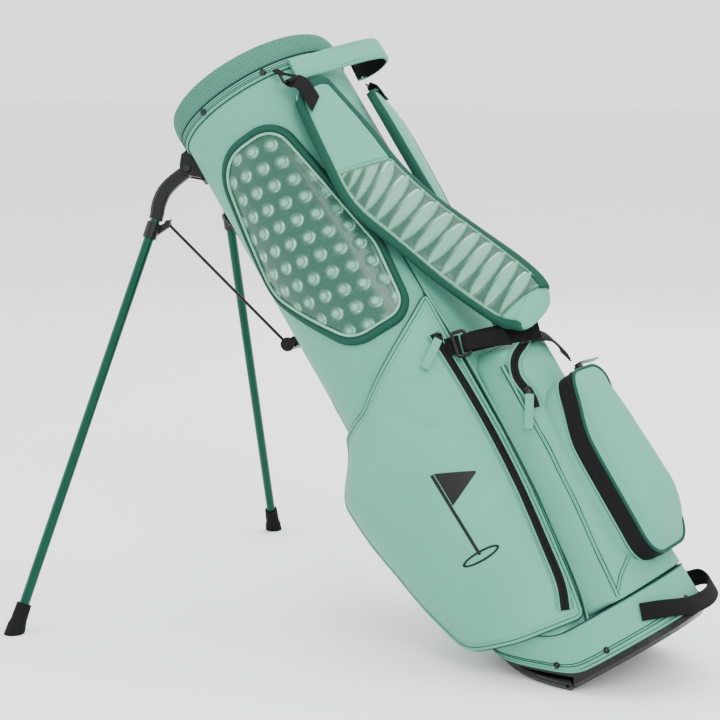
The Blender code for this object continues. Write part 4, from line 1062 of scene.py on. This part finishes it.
def zip_run(name, points, normals, width, hides, lift=0.0006):
    """Zip tape with its coil, a welt along both sides and stitches on the tape."""
    tape(name, points, normals, width, 0.0014, "zip", hides=hides, lift=lift, ridge=0.0012, columns=21)
    for side in (-1, 1):
        line = offset_line(points, normals, side * (width / 2 + 0.0004))
        piping(name + ("_welt_a" if side < 0 else "_welt_b"), lifted(line, normals, 0.0014), 0.0013,
               normals=normals, flat=0.8)
        outer = offset_line(points, normals, side * (width / 2 + 0.0040))
        stitches(name + ("_stitch_a" if side < 0 else "_stitch_b"), lifted(outer, normals, 0.0003), normals)


def offset_line(points, normals, distance):
    moved = []
    for index, point in enumerate(points):
        moved.append(point + forward_at(points, index).cross(normals[index]).normalized() * distance)
    return moved


def build_flag_print():
    """A generic golf flag in its hole, printed on the pocket."""
    def strip(name, left, right):
        rows = []
        for (a0, b0), (a1, b1) in zip(left, right):
            shares = [k / 5 for k in range(6)]
            top = [apparel_skin(a0 + (a1 - a0) * s, b0 + (b1 - b0) * s, 0.0006) for s in shares]
            low = [apparel_skin(a0 + (a1 - a0) * s, b0 + (b1 - b0) * s, -0.0004) for s in reversed(shares)]
            rows.append(top + low)
        finish_mesh(name, grid(rows), "ink", "bag", "mint_fabric")

    heights = frange(0.192, 0.302, 0.005)
    strip("print_pole", [(0.0225, u) for u in heights], [(0.0255, u) for u in heights])
    spread = [k / 12 for k in range(13)]
    strip("print_flag", [(0.0265 + 0.036 * s, 0.302 - 0.021 * s) for s in spread],
          [(0.0265 + 0.036 * s, 0.258 + 0.021 * s) for s in spread])
    turns = full_turn(40, 1)
    strip("print_hole", [(0.024 + 0.021 * math.cos(t), 0.190 + 0.0065 * math.sin(t)) for t in turns],
          [(0.024 + 0.018 * math.cos(t), 0.190 + 0.0040 * math.sin(t)) for t in turns])


# ---- strap-side pockets ----
def build_accessory_pocket():
    low = 0.0642
    rows = [low + 0.001, 0.13, 0.22, 0.31, BLOCK_TOP - 0.012]
    half = [(block_half_width(u), u) for u in rows]
    corners = [(-half[0][0], half[0][1], 0.004)] + [(half[0][0], half[0][1], 0.004)]
    corners += [(w, u, 0.2) for w, u in half[1:-1]] + [(half[-1][0] - 0.012, BLOCK_TOP, 0.025)]
    corners += [(0.012 - half[-1][0], BLOCK_TOP, 0.025)] + [(-w, u, 0.2) for w, u in reversed(half[1:-1])]
    outline = even(rounded(corners, 8), 0.0045, closed=True)

    def face(y, u, lift, depth):
        under = tube_face_q(y, 0.0006)
        skin = block_q(y, u) + wrinkle(Vector((y, u, 9.0)), 0.06, 0.0010) * smooth(depth * 8.0)
        return bag(under + (skin - under) * lift, y, u)

    rim = [(0.0, 0.0), (0.0, 0.25), (0.0, 0.5), (0.0, 0.75), (0.0, 0.93), (0.0008, 0.98), (0.0022, 1.0),
           (0.0045, 1.0), (0.0075, 1.0)]
    patch("accessory_cover", face, outline, (0.0, 0.235), "mint", "bag", "mint_fabric", ["accessory_pocket"],
          rings=40, rim=rim)


BALL_CORNERS = [(-0.060, 0.088, 0.035), (0.060, 0.088, 0.035), (0.055, 0.22, 0.2), (0.044, 0.326, 0.028),
                (-0.044, 0.326, 0.028), (-0.055, 0.22, 0.2)]
BALL_CENTRE = Vector((0.0, 0.205))


def from_ball_middle(along, place):
    """Unit (y, u) direction square to along, pointing away from the pocket's middle."""
    along = along.normalized()
    sideways = Vector((along.y, -along.x))
    return sideways if sideways.dot(place - BALL_CENTRE) > 0 else -sideways


def build_ball_pocket():
    outline = even(rounded(BALL_CORNERS, 10), 0.004, closed=True)

    def lid(y, u, lift, depth):
        uneven = wrinkle(Vector((y, u, 20.0)), 0.05, 0.0009) * smooth(depth * 6.0)
        return bag(ball_lid_q(y, u, 1.0 - depth) - 0.0035 * (1.0 - lift) + uneven, y, u)

    patch("ball_pocket_lid", lid, outline, (0.0, 0.205), "mint", "bag", "mint_fabric", ["ball_pocket"],
          rings=30)

    rows = []
    count = len(outline)
    for k, p in enumerate(outline):
        away = from_ball_middle(outline[(k + 1) % count] - outline[k - 1], p)
        low = block_q(p.x, p.y) - 0.001
        high = ball_edge_q(p.y) - 0.0015
        row = []
        for share in frange(0.0, 1.0, 0.1):
            bulge = 0.0007 * math.sin(math.pi * share) - 0.0006
            spot = p + away * bulge
            row.append(bag(low + (high - low) * share, spot.x, spot.y))
        row += [bag(low + (high - low) * share, *(p - away * 0.003)) for share in (1.0, 0.0)]
        rows.append(row)
    shell("ball_pocket_wall", rows, "mint", "bag", "mint_fabric", ["ball_pocket"], ring=True)

    def ring_line(q_shift, out):
        line = []
        for k, p in enumerate(outline):
            spot = p + from_ball_middle(outline[(k + 1) % count] - outline[k - 1], p) * out
            line.append(bag(ball_edge_q(p.y) + q_shift, spot.x, spot.y))
        return line

    piping("ball_lid_piping", ring_line(-0.0012, 0.0002), 0.0020, "teal", closed=True)
    wall = ring_line(-0.0262, 0.0008)
    edged("ball_wall_piping", wall,
          [bag_direction(0.0, p.x, p.y - BALL_CENTRE.y).normalized() for p in outline], 0.0014,
          closed=True)

    ordered = sorted(outline, key=lambda p: math.atan2(-p.x, BALL_CENTRE.y - p.y) % math.tau)
    near = [p for p in ordered if p.y > 0.09 or abs(p.x) > 0.012]
    points = []
    normals = []
    for index, p in enumerate(near):
        away = from_ball_middle(forward_at(near, index), p)
        points.append(bag(ball_edge_q(p.y) - 0.0088, p.x, p.y))
        normals.append(bag_direction(0.0, away.x, away.y))
    deep = [point - bag_direction(0.0042, 0.0, 0.0) for point in points]
    tape("ball_zip_tape", deep, normals, 0.0235, 0.0012, "zip", hides=["ball_zip"], lift=0.0003, columns=21)
    coil = lifted(points, normals, 0.0014)
    piping("ball_zip_coil", coil, 0.0016, "zip", slot="black_webbing", normals=normals, flat=0.6)


ACCESSORY_ZIP = [(-0.0520, 0.312), (-0.0500, 0.325), (-0.0515, 0.340), (-0.0520, 0.357), (-0.0470, 0.374),
                 (-0.0360, 0.384), (-0.0180, 0.389), (0.0, 0.390)]


def pull_tab(name, base, toward, normal, body, hides):
    """A moulded rubber tab with a raised rim, hanging from its slider."""
    line = (toward - base).normalized()
    side = line.cross(normal).normalized()
    up = side.cross(line).normalized()
    rows = []
    for x in frange(0.0045, 0.0465, 0.0015):
        end = min(x - 0.0045, 0.0465 - x)
        half = 0.0054 * math.sqrt(min(1.0, 0.80 + end / 0.003))
        row = []
        for k in range(15):
            s = 2.0 * k / 14 - 1.0
            rim = 0.0004 * math.exp(-((1.0 - abs(s)) / 0.18) ** 2) + 0.0004 * math.exp(-(end / 0.0016) ** 2)
            row.append(base + line * x + side * half * s + up * (0.0008 * (1.0 - abs(s) ** 8) + rim))
        row += [base + line * x + side * half * s - up * 0.0008 for s in (0.9, 0.0, -0.9)]
        rows.append(row)
    shell(name, rows, "mint_smooth", body, "mint_fabric", [hides])


SLIDER_HEIGHT = 0.0042
SLIDER_SEAT = 0.0016 + 0.0016 + 0.0012      # tape, coil and clearance under a slider on a pocket
HOOK_RISE = 0.0004 + 0.0008 + 0.0014        # from a slider's top to the end of its tab


def build_zips():
    points, normals = lie(apparel_skin, APPAREL_ZIP)
    zip_run("apparel_zip_tape", points, normals, 0.0125, ["apparel_zip"])
    points, normals = lie(block_skin, ACCESSORY_ZIP, spacing=0.003)
    zip_run("accessory_zip_tape", points, normals, 0.0115, ["accessory_zip"])

    for prefix, face, route, stop, tip in (("apparel", apparel_smooth, APPAREL_ZIP, 0, (0.063, 0.411)),
                                           ("accessory", block_smooth, ACCESSORY_ZIP, 1, (-0.062, 0.290))):
        a, b = route[stop]
        at = face(a, b)
        normal = normal_of(face, a, b, tube_axis(at))
        along = face(*route[stop + 1]) - at
        along = (along - along.dot(normal) * normal).normalized()
        base = at + normal * (SLIDER_SEAT + SLIDER_HEIGHT / 2) + along * 0.008
        hook = base + normal * (SLIDER_HEIGHT / 2 + HOOK_RISE)
        target = face(*tip) + normal_of(face, *tip, tube_axis(face(*tip))) * 0.0085
        pull_tab(prefix + "_pull_tab", hook, target, normal, prefix + "_pull", prefix + "_zip_pull")
        pull_loop(prefix + "_pull_loop", base + normal * SLIDER_HEIGHT / 2, hook,
                  (target - hook).normalized(), normal, prefix + "_pull")
    top = bag(ball_edge_q(0.326) - 0.0088, 0.004, 0.326)
    up = bag_direction(0.0, 0.0, 1.0)
    base = top + up * (0.0007 + 0.0016 + 0.0004 + SLIDER_HEIGHT / 2)
    hook = base + up * (SLIDER_HEIGHT / 2 + HOOK_RISE)
    pull_tab("ball_pull_tab", hook, hook + bag_direction(0.004, 0.040, -0.003), up, "ball_pull",
             "ball_zip_pull")
    pull_loop("ball_pull_loop", base + up * SLIDER_HEIGHT / 2, hook,
              bag_direction(0.1, 1.0, 0.0).normalized(), up, "ball_pull")


def pull_loop(name, seat, hook, along, normal, body):
    """The wire bail that joins a tab to its slider."""
    side = along.cross(normal).normalized()
    line = [seat + along * (0.0018 + 0.0058 * math.cos(t)) + side * 0.0034 * math.sin(t)
            + (hook - seat) * 0.55 for t in full_turn(20)]
    piping(name, line, 0.0009, "black_metal", body, "black_metal", closed=True)


def apparel_smooth(arc, u):
    return on_tube(arc, u, apparel_height(arc, u))


def block_smooth(y, u):
    return bag(block_q(y, u), y, u)


# ---- seams and piping on the pockets ----
def build_seams():
    points, normals = lie(panel_skin, PANEL_PIPING)
    edged("panel_piping", lifted(points, normals, 0.004), normals, 0.0019)
    for side, word in ((-1, "_near"), (1, "_far")):
        route = []
        for u in frange(0.070, 0.376, 0.027)[::-1]:
            nearby = [block_half_width(u + 0.012 * k) for k in range(-3, 4)]
            route.append((side * (sum(nearby) / 7 - 0.0030), u))
        points, normals = lie(block_skin, route)
        edged("block_piping" + word, lifted(points, normals, 0.0004), normals, 0.0019)
        route = [(side * 0.0545, 0.1040), (side * 0.0610, 0.0985), (side * 0.0705, 0.0900),
                 (side * 0.0790, 0.0760)]
        points, normals = lie(block_skin, route)
        edged("block_corner" + word, lifted(points, normals, 0.0004), normals, 0.0016)
    route = [(-0.040, 0.402), (-0.020, 0.4032), (0.020, 0.4032), (0.040, 0.402)]
    points, normals = lie(block_skin, route)
    edged("block_top_piping", lifted(points, normals, 0.0006), normals, 0.0016)


# ---- shoulder straps ----
NEAR_STRAP = [((0.077, -0.095, 0.800), (0.096, -0.034, 0.815)),
              ((0.075, -0.107, 0.704), (0.104, -0.016, 0.738)),
              ((0.074, -0.106, 0.638), (0.112, -0.010, 0.674)),
              ((0.087, -0.086, 0.576), (0.128, 0.002, 0.608)),
              ((0.105, -0.058, 0.499), (0.152, 0.020, 0.540)),
              ((0.134, -0.048, 0.430), (0.178, 0.020, 0.480)),
              ((0.155, -0.045, 0.404), (0.188, 0.018, 0.440)),
              ((0.160, -0.034, 0.3990), (0.176, 0.015, 0.4130))]
FAR_STRAP = [((0.082, 0.088, 0.778), (0.101, 0.040, 0.790)), ((0.094, 0.084, 0.735), (0.106, 0.030, 0.748)),
             ((0.091, 0.085, 0.640), (0.102, 0.036, 0.650)), ((0.078, 0.095, 0.560), (0.098, 0.048, 0.570)),
             ((0.077, 0.095, 0.490), (0.099, 0.050, 0.500)), ((0.088, 0.090, 0.454), (0.108, 0.054, 0.460))]
STRAP_HALF = 0.005
STRAP_STEPS = 40
STRAP_CORNER = 0.014
EDGE_POWER = 9
BINDING = {"near": (0.0062, 0.0140), "far": (0.0050, 0.0050)}
BINDING_STOP = 30           # rows short of the low end where the right-hand binding stops
BINDING_TIP = 7             # rows short of the low end where the left-hand binding stops
CELLS_MIDDLE = -0.070
CELLS_REACH = 0.815
CELLS_FROM = 1.92           # station of the cells' upper seam, before CELLS_BACK moves it
CELLS_BACK = 0.019
CELLS_SLANT = 0.020
CELLS_LOW_SLANT = 0.0175
CELLS_TO = 5.55
CELL_PITCH = 0.022
CELL_SKEW = 0.031
CELL_LEAN = 0.007
WEBBING_SHARE = {"near": 0.17, "far": 0.42}
WEBBING_RISE = {"near": 0.0130, "far": 0.0110}
WEBBING_TAIL = {"near": 0.036, "far": 0.016}
TOP_ANCHORS = {"near": (0.073, -0.086, 0.826), "far": (0.077, 0.088, 0.803)}
LOW_ANCHORS = {"near": (0.092, -0.070, 0.425), "far": (0.092, 0.070, 0.425)}


def strap_frame(edges):
    """Left and right points, side and outward normal at every row of a strap, in the bag's frame."""
    left = smooth_path([pair[0] for pair in edges], STRAP_STEPS)
    right = smooth_path([pair[1] for pair in edges], STRAP_STEPS)
    frames = []
    for index, (a, b) in enumerate(zip(left, right)):
        before = max(index - 1, 0)
        after = min(index + 1, len(left) - 1)
        forward = (left[after] + right[after] - left[before] - right[before]).normalized()
        side = (b - a).normalized()
        normal = forward.cross(side).normalized()
        if normal.dot(a + b - Vector((2 * TUBE_Q, 0.0, 2 * a.z))) < 0:
            normal = -normal
        frames.append((a, b, side, normal))
    return frames


def cell(length, s, first, last):
    """Height share of the lens-shaped gel cells across a strap, which also carries painted highlight glints
    in the gaps, and of the seams at both their ends.
    """
    from_top = length - first - CELLS_SLANT * s
    to_low = last - length + CELLS_LOW_SLANT * s
    seams = math.exp(-(from_top / 0.0022) ** 2) + math.exp(-(to_low / 0.0022) ** 2)
    if from_top < 0.0 or to_low < 0.0:
        return 0.0, seams, False
    t = (s - CELLS_MIDDLE) / CELLS_REACH
    if abs(t) > 1.06:
        return 0.0, seams, False
    skew = CELL_SKEW * math.exp(-(length - first) / 0.07) - CELL_LEAN
    phase = (length - first + skew * s) / CELL_PITCH
    upper = 2.0 * (phase % 1.0) - 1.0
    aside = abs(upper)
    lens = 0.66 * math.sqrt(max(0.0, 1.0 - (t / 0.97) ** 2))
    ends = smooth(from_top / 0.007) * smooth(to_low / 0.007)
    outline = 0.28 * math.exp(-((lens - aside) / 0.08) ** 2)
    bead = math.exp(-((abs(t) - 1.0) / 0.035) ** 2)
    body = smooth((lens - aside + 0.02) / 0.16) * (0.66 + 0.05 * math.cos(aside * 24.0))
    # glint: a painted highlight, a bright wedge in the gap beside each cell's upper side
    glint = 1.1 * math.exp(-((upper + lens + 0.17) / 0.15) ** 2)
    glint = glint * smooth((t + 0.35) / 0.9) * smooth((0.96 - t) / 0.12)
    return min(1.1, (body + outline + glint) * ends + 0.7 * bead), seams, True


def strap_crown(s):
    return 0.0045 * (1.0 - s * s) + (STRAP_HALF + 0.001) * math.sqrt(max(0.0, 1.0 - abs(s) ** EDGE_POWER))


def across_top(outline):
    """Points and normals round the strap's top end, from the left edge to the right."""
    first, last = outline[-1][0], outline[1][0]
    inner = (outline[-1][6][0] + outline[1][6][0]) / 2
    onward = ((first[0] + last[0]) / 2 - inner).normalized()
    found = []
    for k in range(1, 12):
        share = k / 12
        bulge = 0.0030 * math.sin(math.pi * share)
        found.append((first[0].lerp(last[0], share) + onward * bulge, first[1]))
    return found


def build_binding(word, body, line, normals, frames):
    """The folded tape round the strap's edge, with its face on the padding."""
    middles = [(a + b) / 2 for a, b, _, _ in frames]
    away = STRAP_STEPS // 3
    left_width, right_width = BINDING[word]
    rows = []
    for k, point in enumerate(line):
        along = forward_at(line, k)
        normal = normals[k]
        nearest = min(range(len(frames)), key=lambda n: (middles[n] - point).length)
        well_in = min(max(nearest, away), len(frames) - 1 - away)
        inward = normal.cross(along).normalized()
        if inward.dot(middles[well_in] - point) < 0:
            inward = -inward
        toward = inward.dot(frames[well_in][2])
        width = left_width + (right_width - left_width) * smooth(0.5 - toward * 0.7)
        width *= 0.3 + 0.7 * smooth(k / 18)
        row = []
        for share in (0.0, 0.12, 0.25, 0.40, 0.55, 0.70, 0.85, 0.95, 1.0):
            spot = point + inward * (width * share - 0.0010)
            index = min(range(max(0, nearest - away), min(len(frames), nearest + away)),
                        key=lambda n: (middles[n] - spot).length)
            a, b, side, face = frames[index]
            spot += face * (middles[index] - spot).dot(face)
            s = max(-1.0, min(1.0, (spot - middles[index]).dot(side) / ((b - a).length / 2)))
            tip = smooth((share * width + 0.0016) / 0.0032)
            puff = 0.0011 * math.sin(math.pi * min(1.0, 0.15 + share * 0.85)) ** 0.5
            row.append(bag(*(spot + face * ((strap_crown(s) + puff) * tip + 0.0004))))
        for share, drop in ((1.0, -0.0006), (0.4, -0.0030), (0.0, -0.0040), (-0.06, -0.0020)):
            spot = point + inward * (width * share - 0.0010)
            if share > 0.9:
                spot += face * (middles[index] - spot).dot(face)
            row.append(bag(*(spot + face * (drop if share < 0.9 else strap_crown(s) + drop))))
        rows.append(row)
    shell(word + "_strap_binding", rows, "teal", body, "mint_fabric", sharp=80)


def build_strap(word, edges, celled):
    frames = strap_frame(edges)
    middles = [(a + b) / 2 for a, b, _, _ in frames]
    lengths = [0.0]
    for p, q in zip(middles, middles[1:]):
        lengths.append(lengths[-1] + (q - p).length)
    first = lengths[round(CELLS_FROM * STRAP_STEPS)] - CELLS_BACK if celled else 9.0
    last = lengths[round(CELLS_TO * STRAP_STEPS)] if celled else 9.0
    columns = 60
    rows = []
    shades = []
    gel_faces = set()
    outline = {-1: [], 1: []}
    whole = lengths[-1]
    around_row = columns + 12
    for index, (a, b, side, normal) in enumerate(frames):
        length = lengths[index]
        tip = min(length, whole - length) / STRAP_CORNER
        narrow = 1.0 - 0.26 * (1.0 - math.sqrt(1.0 - (1.0 - min(1.0, tip)) ** 2))
        close = math.sqrt(min(1.0, 0.15 + tip * 2.0))
        row = []
        for column in range(columns + 1):
            s = 2.0 * column / columns - 1.0
            raised, seam, inside = cell(length, s, first, last) if celled else (0.0, 0.0, False)
            if inside and index < len(frames) - 1 and column < columns:
                gel_faces.add(index * around_row + column)
            crown = strap_crown(s)
            place = Vector((s * 0.03, length, 1.0 if celled else 2.0))
            uneven = wrinkle(place, 0.035, 0.0006) * (1.0 - raised)
            spot = a.lerp(b, (s * narrow + 1.0) / 2.0)
            relief = 0.0034 * min(raised, 0.75) + (0.0004 if inside else 0.0)
            row.append(bag(*(spot + normal * (crown * close + relief - 0.0014 * seam + uneven))))
            # shades carry the cells' tone, painted highlight glints included
            shades.append(raised)
        for column in range(11):
            s = 1.0 - 2.0 * column / 10
            low = 0.006 * (1.0 - s * s) - STRAP_HALF * math.sqrt(max(0.0, 1.0 - abs(s) ** 6))
            row.append(bag(*(a.lerp(b, (s * 0.998 * narrow + 1.0) / 2.0) + normal * low * close)))
            shades.append(0.0)
        rows.append(row)
        for sign in (-1, 1):
            edge = a.lerp(b, (sign * narrow + 1.0) / 2.0)
            outline[sign].append((edge, normal))
    body = word + "_strap"
    pad = shell(word + "_strap_body", rows, "mint", body, "mint_fabric", [word + "_strap_pad"],
                attribute=shades)
    pad.data.materials.append(LOOKS["gel"])
    pad.data.materials.append(LOOKS["lining"])
    for face in pad.data.polygons[:(len(rows) - 1) * around_row]:
        if face.index % around_row > columns:
            face.material_index = 2
        elif face.index in gel_faces:
            face.material_index = 1
    edge = outline[-1][:-BINDING_TIP][::-1] + across_top(outline) + outline[1][:-BINDING_STOP]
    edge = edge[1::2]
    line = smooth_line([point for point, _ in edge])
    build_binding(word, body, line, [normal for _, normal in edge], frames)
    if celled:
        for word_end, at in (("top", lambda s: first + CELLS_SLANT * s - 0.0035),
                             ("low", lambda s: last + 0.0035)):
            line = []
            normals = []
            for k in range(33):
                s = -0.86 + 1.72 * k / 32
                index = min(range(len(lengths)), key=lambda n: abs(lengths[n] - at(s)))
                a, b, side, normal = frames[index]
                crown = strap_crown(s)
                line.append(bag(*(a.lerp(b, (s + 1.0) / 2.0) + normal * (crown + 0.0002))))
                normals.append(bag_direction(*normal))
            stitches(word + "_strap_stitches_" + word_end, line, normals, body)


def smooth_line(points, rounds=4):
    """An open line of points, each averaged a little with its neighbours."""
    for _ in range(rounds):
        inner = [(p + 2 * q + r) / 4 for p, q, r in zip(points, points[1:], points[2:])]
        points = [points[0]] + inner + [points[-1]]
    return points


def build_strap_webbing(word, edges):
    body = word + "_strap"
    top = Vector(TOP_ANCHORS[word])
    low = Vector(LOW_ANCHORS[word])
    left, right = (Vector(p) for p in edges[0])
    out = (right - left).cross(Vector((0.0, 0.0, 1.0))).normalized()
    if out.dot(left + right - Vector((2 * TUBE_Q, 0.0, 2 * left.z))) < 0:
        out = -out
    start = left.lerp(right, WEBBING_SHARE[word]) + out * WEBBING_RISE[word]
    ring_middle = top + out * 0.006
    down = (start - ring_middle).normalized()
    onward = (Vector(edges[1][0]) + Vector(edges[1][1]) - left - right).normalized()
    route = smooth_path([ring_middle + down * 0.0095, start + out * 0.0010,
                         start + onward * WEBBING_TAIL[word] + out * 0.0005], 8)
    points = in_world(route)
    turned = (out + Vector((0.0, 0.30 * (-1.0 if word == "near" else 1.0), 0.0))).normalized()
    faces = [bag_direction(*turned.lerp(out, smooth(k / len(points) * 1.4)).normalized())
             for k in range(len(points))]
    tape(word + "_top_webbing", points, faces, 0.024, 0.0020, "webbing", body,
         hides=[word + "_strap_webbing"], notch=-0.016)
    loop = [ring_middle + down * 0.0085 + (down * math.cos(t) + out * math.sin(t)) * 0.0045
            for t in full_turn(16, 1)]
    tape(word + "_ring_wrap", in_world(loop),
         [bag_direction(*(p - ring_middle - down * 0.0085)) for p in loop],
         0.020, 0.0012, "webbing", body, lift=-0.0006)
    tape(word + "_ring_tab",
         [bag(*(ring_middle - down * (0.006 + 0.003 * k) + out * 0.0004)) for k in range(6)],
         [bag_direction(*out)] * 6, 0.010, 0.0016, "webbing", "bag")
    end_a, end_b = (Vector(p) for p in edges[-1])
    toward = (end_a * 0.62 + end_b * 0.38) - low - Vector((0.0, 0.0, 0.008))
    under = (low - Vector((TUBE_Q, 0.0, low.z))).normalized()
    along = toward.normalized()
    reach = toward.length * 0.92
    route = [low + along * (0.0100 + reach * share) + under * rise for share, rise in
             ((0.0, 0.0015), (0.33, 0.0035), (0.66, 0.001), (1.0, -0.0025))]
    points = in_world(smooth_path(route, 6))
    tape(word + "_low_webbing", points, [bag_direction(*under)] * len(points), 0.026, 0.0018, "webbing", body,
         hides=[word + "_lower_webbing"], lift=-0.0030)
    cross = along.cross(under).normalized()
    tail = [low + along * (0.004 + 0.014 * k) + under * (0.0035 + 0.0030 * math.sin(k * 0.9))
            + cross * 0.0012 * k
            for k in range(5)]
    points = in_world(smooth_path(tail, 5))
    tilt = [(under + cross * 0.18 * k / len(points)).normalized() for k in range(len(points))]
    tape(word + "_low_tail", points, [bag_direction(*n) for n in tilt], 0.021, 0.0018, "webbing", body,
         notch=-0.009)
    anchor = [low - along * (0.002 + 0.004 * k) - under * 0.0011 * k for k in range(5)]
    tape(word + "_low_anchor", in_world(anchor), [bag_direction(*under)] * 5, 0.023, 0.0018,
         "webbing", "bag", lift=-0.0012)
    wrap = [low + along * 0.0055 + (along * math.cos(t) + under * math.sin(t)) * 0.0042
            for t in full_turn(16, 1)]
    tape(word + "_low_wrap", in_world(wrap),
         [bag_direction(*(p - low - along * 0.0055)) for p in wrap],
         0.0215, 0.0012, "webbing", body, lift=-0.0004)


def build_cross_webbing():
    route = smooth_path([(0.1500, -0.026, 0.3925), (0.1530, -0.006, 0.3895), (0.1540, 0.014, 0.3840),
                         (0.1500, 0.032, 0.374), (0.1460, 0.048, 0.364), (0.1395, 0.060, 0.356)], 6)
    faces = [bag_direction(*Vector((1.0, p.y * 1.5, 0.45)).normalized()) for p in route]
    tape("cross_webbing", in_world(route), faces, 0.021, 0.0026, "webbing",
         hides=["accessory_webbing"], lift=0.0005)


# ---- handles ----
def band(name, points, half_width, half_thickness, look, body, slot, hides, upright):
    rows = []
    profile = []
    for k in range(20):
        turn = math.tau * k / 20
        c, s = math.cos(turn), math.sin(turn)
        profile.append((math.copysign(abs(c) ** 0.5, c) * half_width,
                        math.copysign(abs(s) ** 0.7, s) * half_thickness))
    for index, point in enumerate(points):
        forward = forward_at(points, index)
        side = upright - upright.dot(forward) * forward
        side.normalize()
        normal = forward.cross(side).normalized()
        rows.append([point + side * w + normal * n for w, n in profile])
    return shell(name, rows, look, body, slot, hides), rows


def build_handles():
    route = smooth_path([(0.0815, -0.0700), (0.0890, -0.059), (0.101, -0.034), (0.118, 0.002),
                         (0.131, 0.036), (0.135, 0.062),
                         (0.126, 0.083), (0.106, 0.091), (0.088, 0.086), (0.080, 0.077)], 8)
    last = len(route) - 1
    points = [bag(p.x, p.y, 0.8350 - 0.003 * math.sin(k / last * math.pi)) for k, p in enumerate(route)]
    handle, rows = band("top_grab", points, 0.0155, 0.0034, "mint", "top_grab_handle", "mint_fabric",
                        ["top_handle"], bag_direction(0.0, 0.0, 1.0))
    handle.data.materials.append(LOOKS["lining"])
    middle = bag(0.09, 0.02, 0.835)
    for face in handle.data.polygons:
        inward = (middle - Vector(face.center)).normalized()
        if Vector(face.normal).dot(inward) > 0.55:
            face.material_index = 1
    for word, shift in (("high", 0.0115), ("low", -0.0115)):
        line = [p + bag_direction(0.0, 0.0, shift) + (p - middle).normalized() * 0.0034 for p in points[2:-2]]
        stitches("top_grab_stitches_" + word, line, [(p - middle).normalized() for p in points[2:-2]],
                 "top_grab_handle")

    route = smooth_path([(0.1195, -0.0745, 0.0410), (0.1390, -0.0580, 0.0315), (0.1535, -0.0280, 0.0195),
                         (0.1585, 0.0040, 0.0150), (0.1595, 0.0320, 0.0160), (0.1560, 0.0560, 0.0240),
                         (0.1400, 0.0740, 0.0360), (0.1190, 0.0780, 0.0410)], 8)
    points = in_world(route)
    band("heel_grab", points, 0.0105, 0.0012, "webbing", "heel_grab_handle", "black_webbing", ["heel_handle"],
         bag_direction(0.0, 0.0, 1.0))


# ---- finishes of the hard parts ----
NODE_LOOKS = {
    "plastic": ["base_cup", "pedal", "near_leg_bracket", "far_leg_bracket", "near_leg_knuckle",
                "far_leg_knuckle", "near_leg_clip", "far_leg_clip", "actuator_yoke", "near_lower_buckle",
                "far_lower_buckle"],
    "green_metal": ["near_leg_tube", "far_leg_tube"],
    "rubber": ["near_foot", "far_foot"],
    "dull_steel": ["actuator_rod"],
    "gunmetal": ["near_pivot_bolt", "far_pivot_bolt", "collar_rivet_1", "collar_rivet_2", "collar_rivet_3",
                 "collar_rivet_4"],
    "black_metal": ["pedal_hinge_pin", "near_brace_rod", "far_brace_rod", "near_strap_ring",
                    "far_strap_ring", "apparel_zip_slider", "accessory_zip_slider", "ball_zip_slider"],
}


def paint_nodes():
    for look, names in NODE_LOOKS.items():
        for name in names:
            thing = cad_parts[name]
            for place in thing.material_slots:
                place.material = LOOKS[look]


paint_nodes()
build_panels()
build_collar()
build_dividers()
build_boot()
build_spine_sleeve()
build_hip_pad()
build_side_pocket("apparel_cover", apparel_skin, "apparel_pocket")
build_side_pocket("far_side_cover", far_apparel_skin, "far_side_pocket")
build_flag_print()
build_accessory_pocket()
build_ball_pocket()
build_zips()
build_seams()
for strap_word, strap_edges, has_cells in (("near", NEAR_STRAP, True), ("far", FAR_STRAP, False)):
    build_strap(strap_word, strap_edges, has_cells)
    build_strap_webbing(strap_word, strap_edges)
build_cross_webbing()
build_handles()
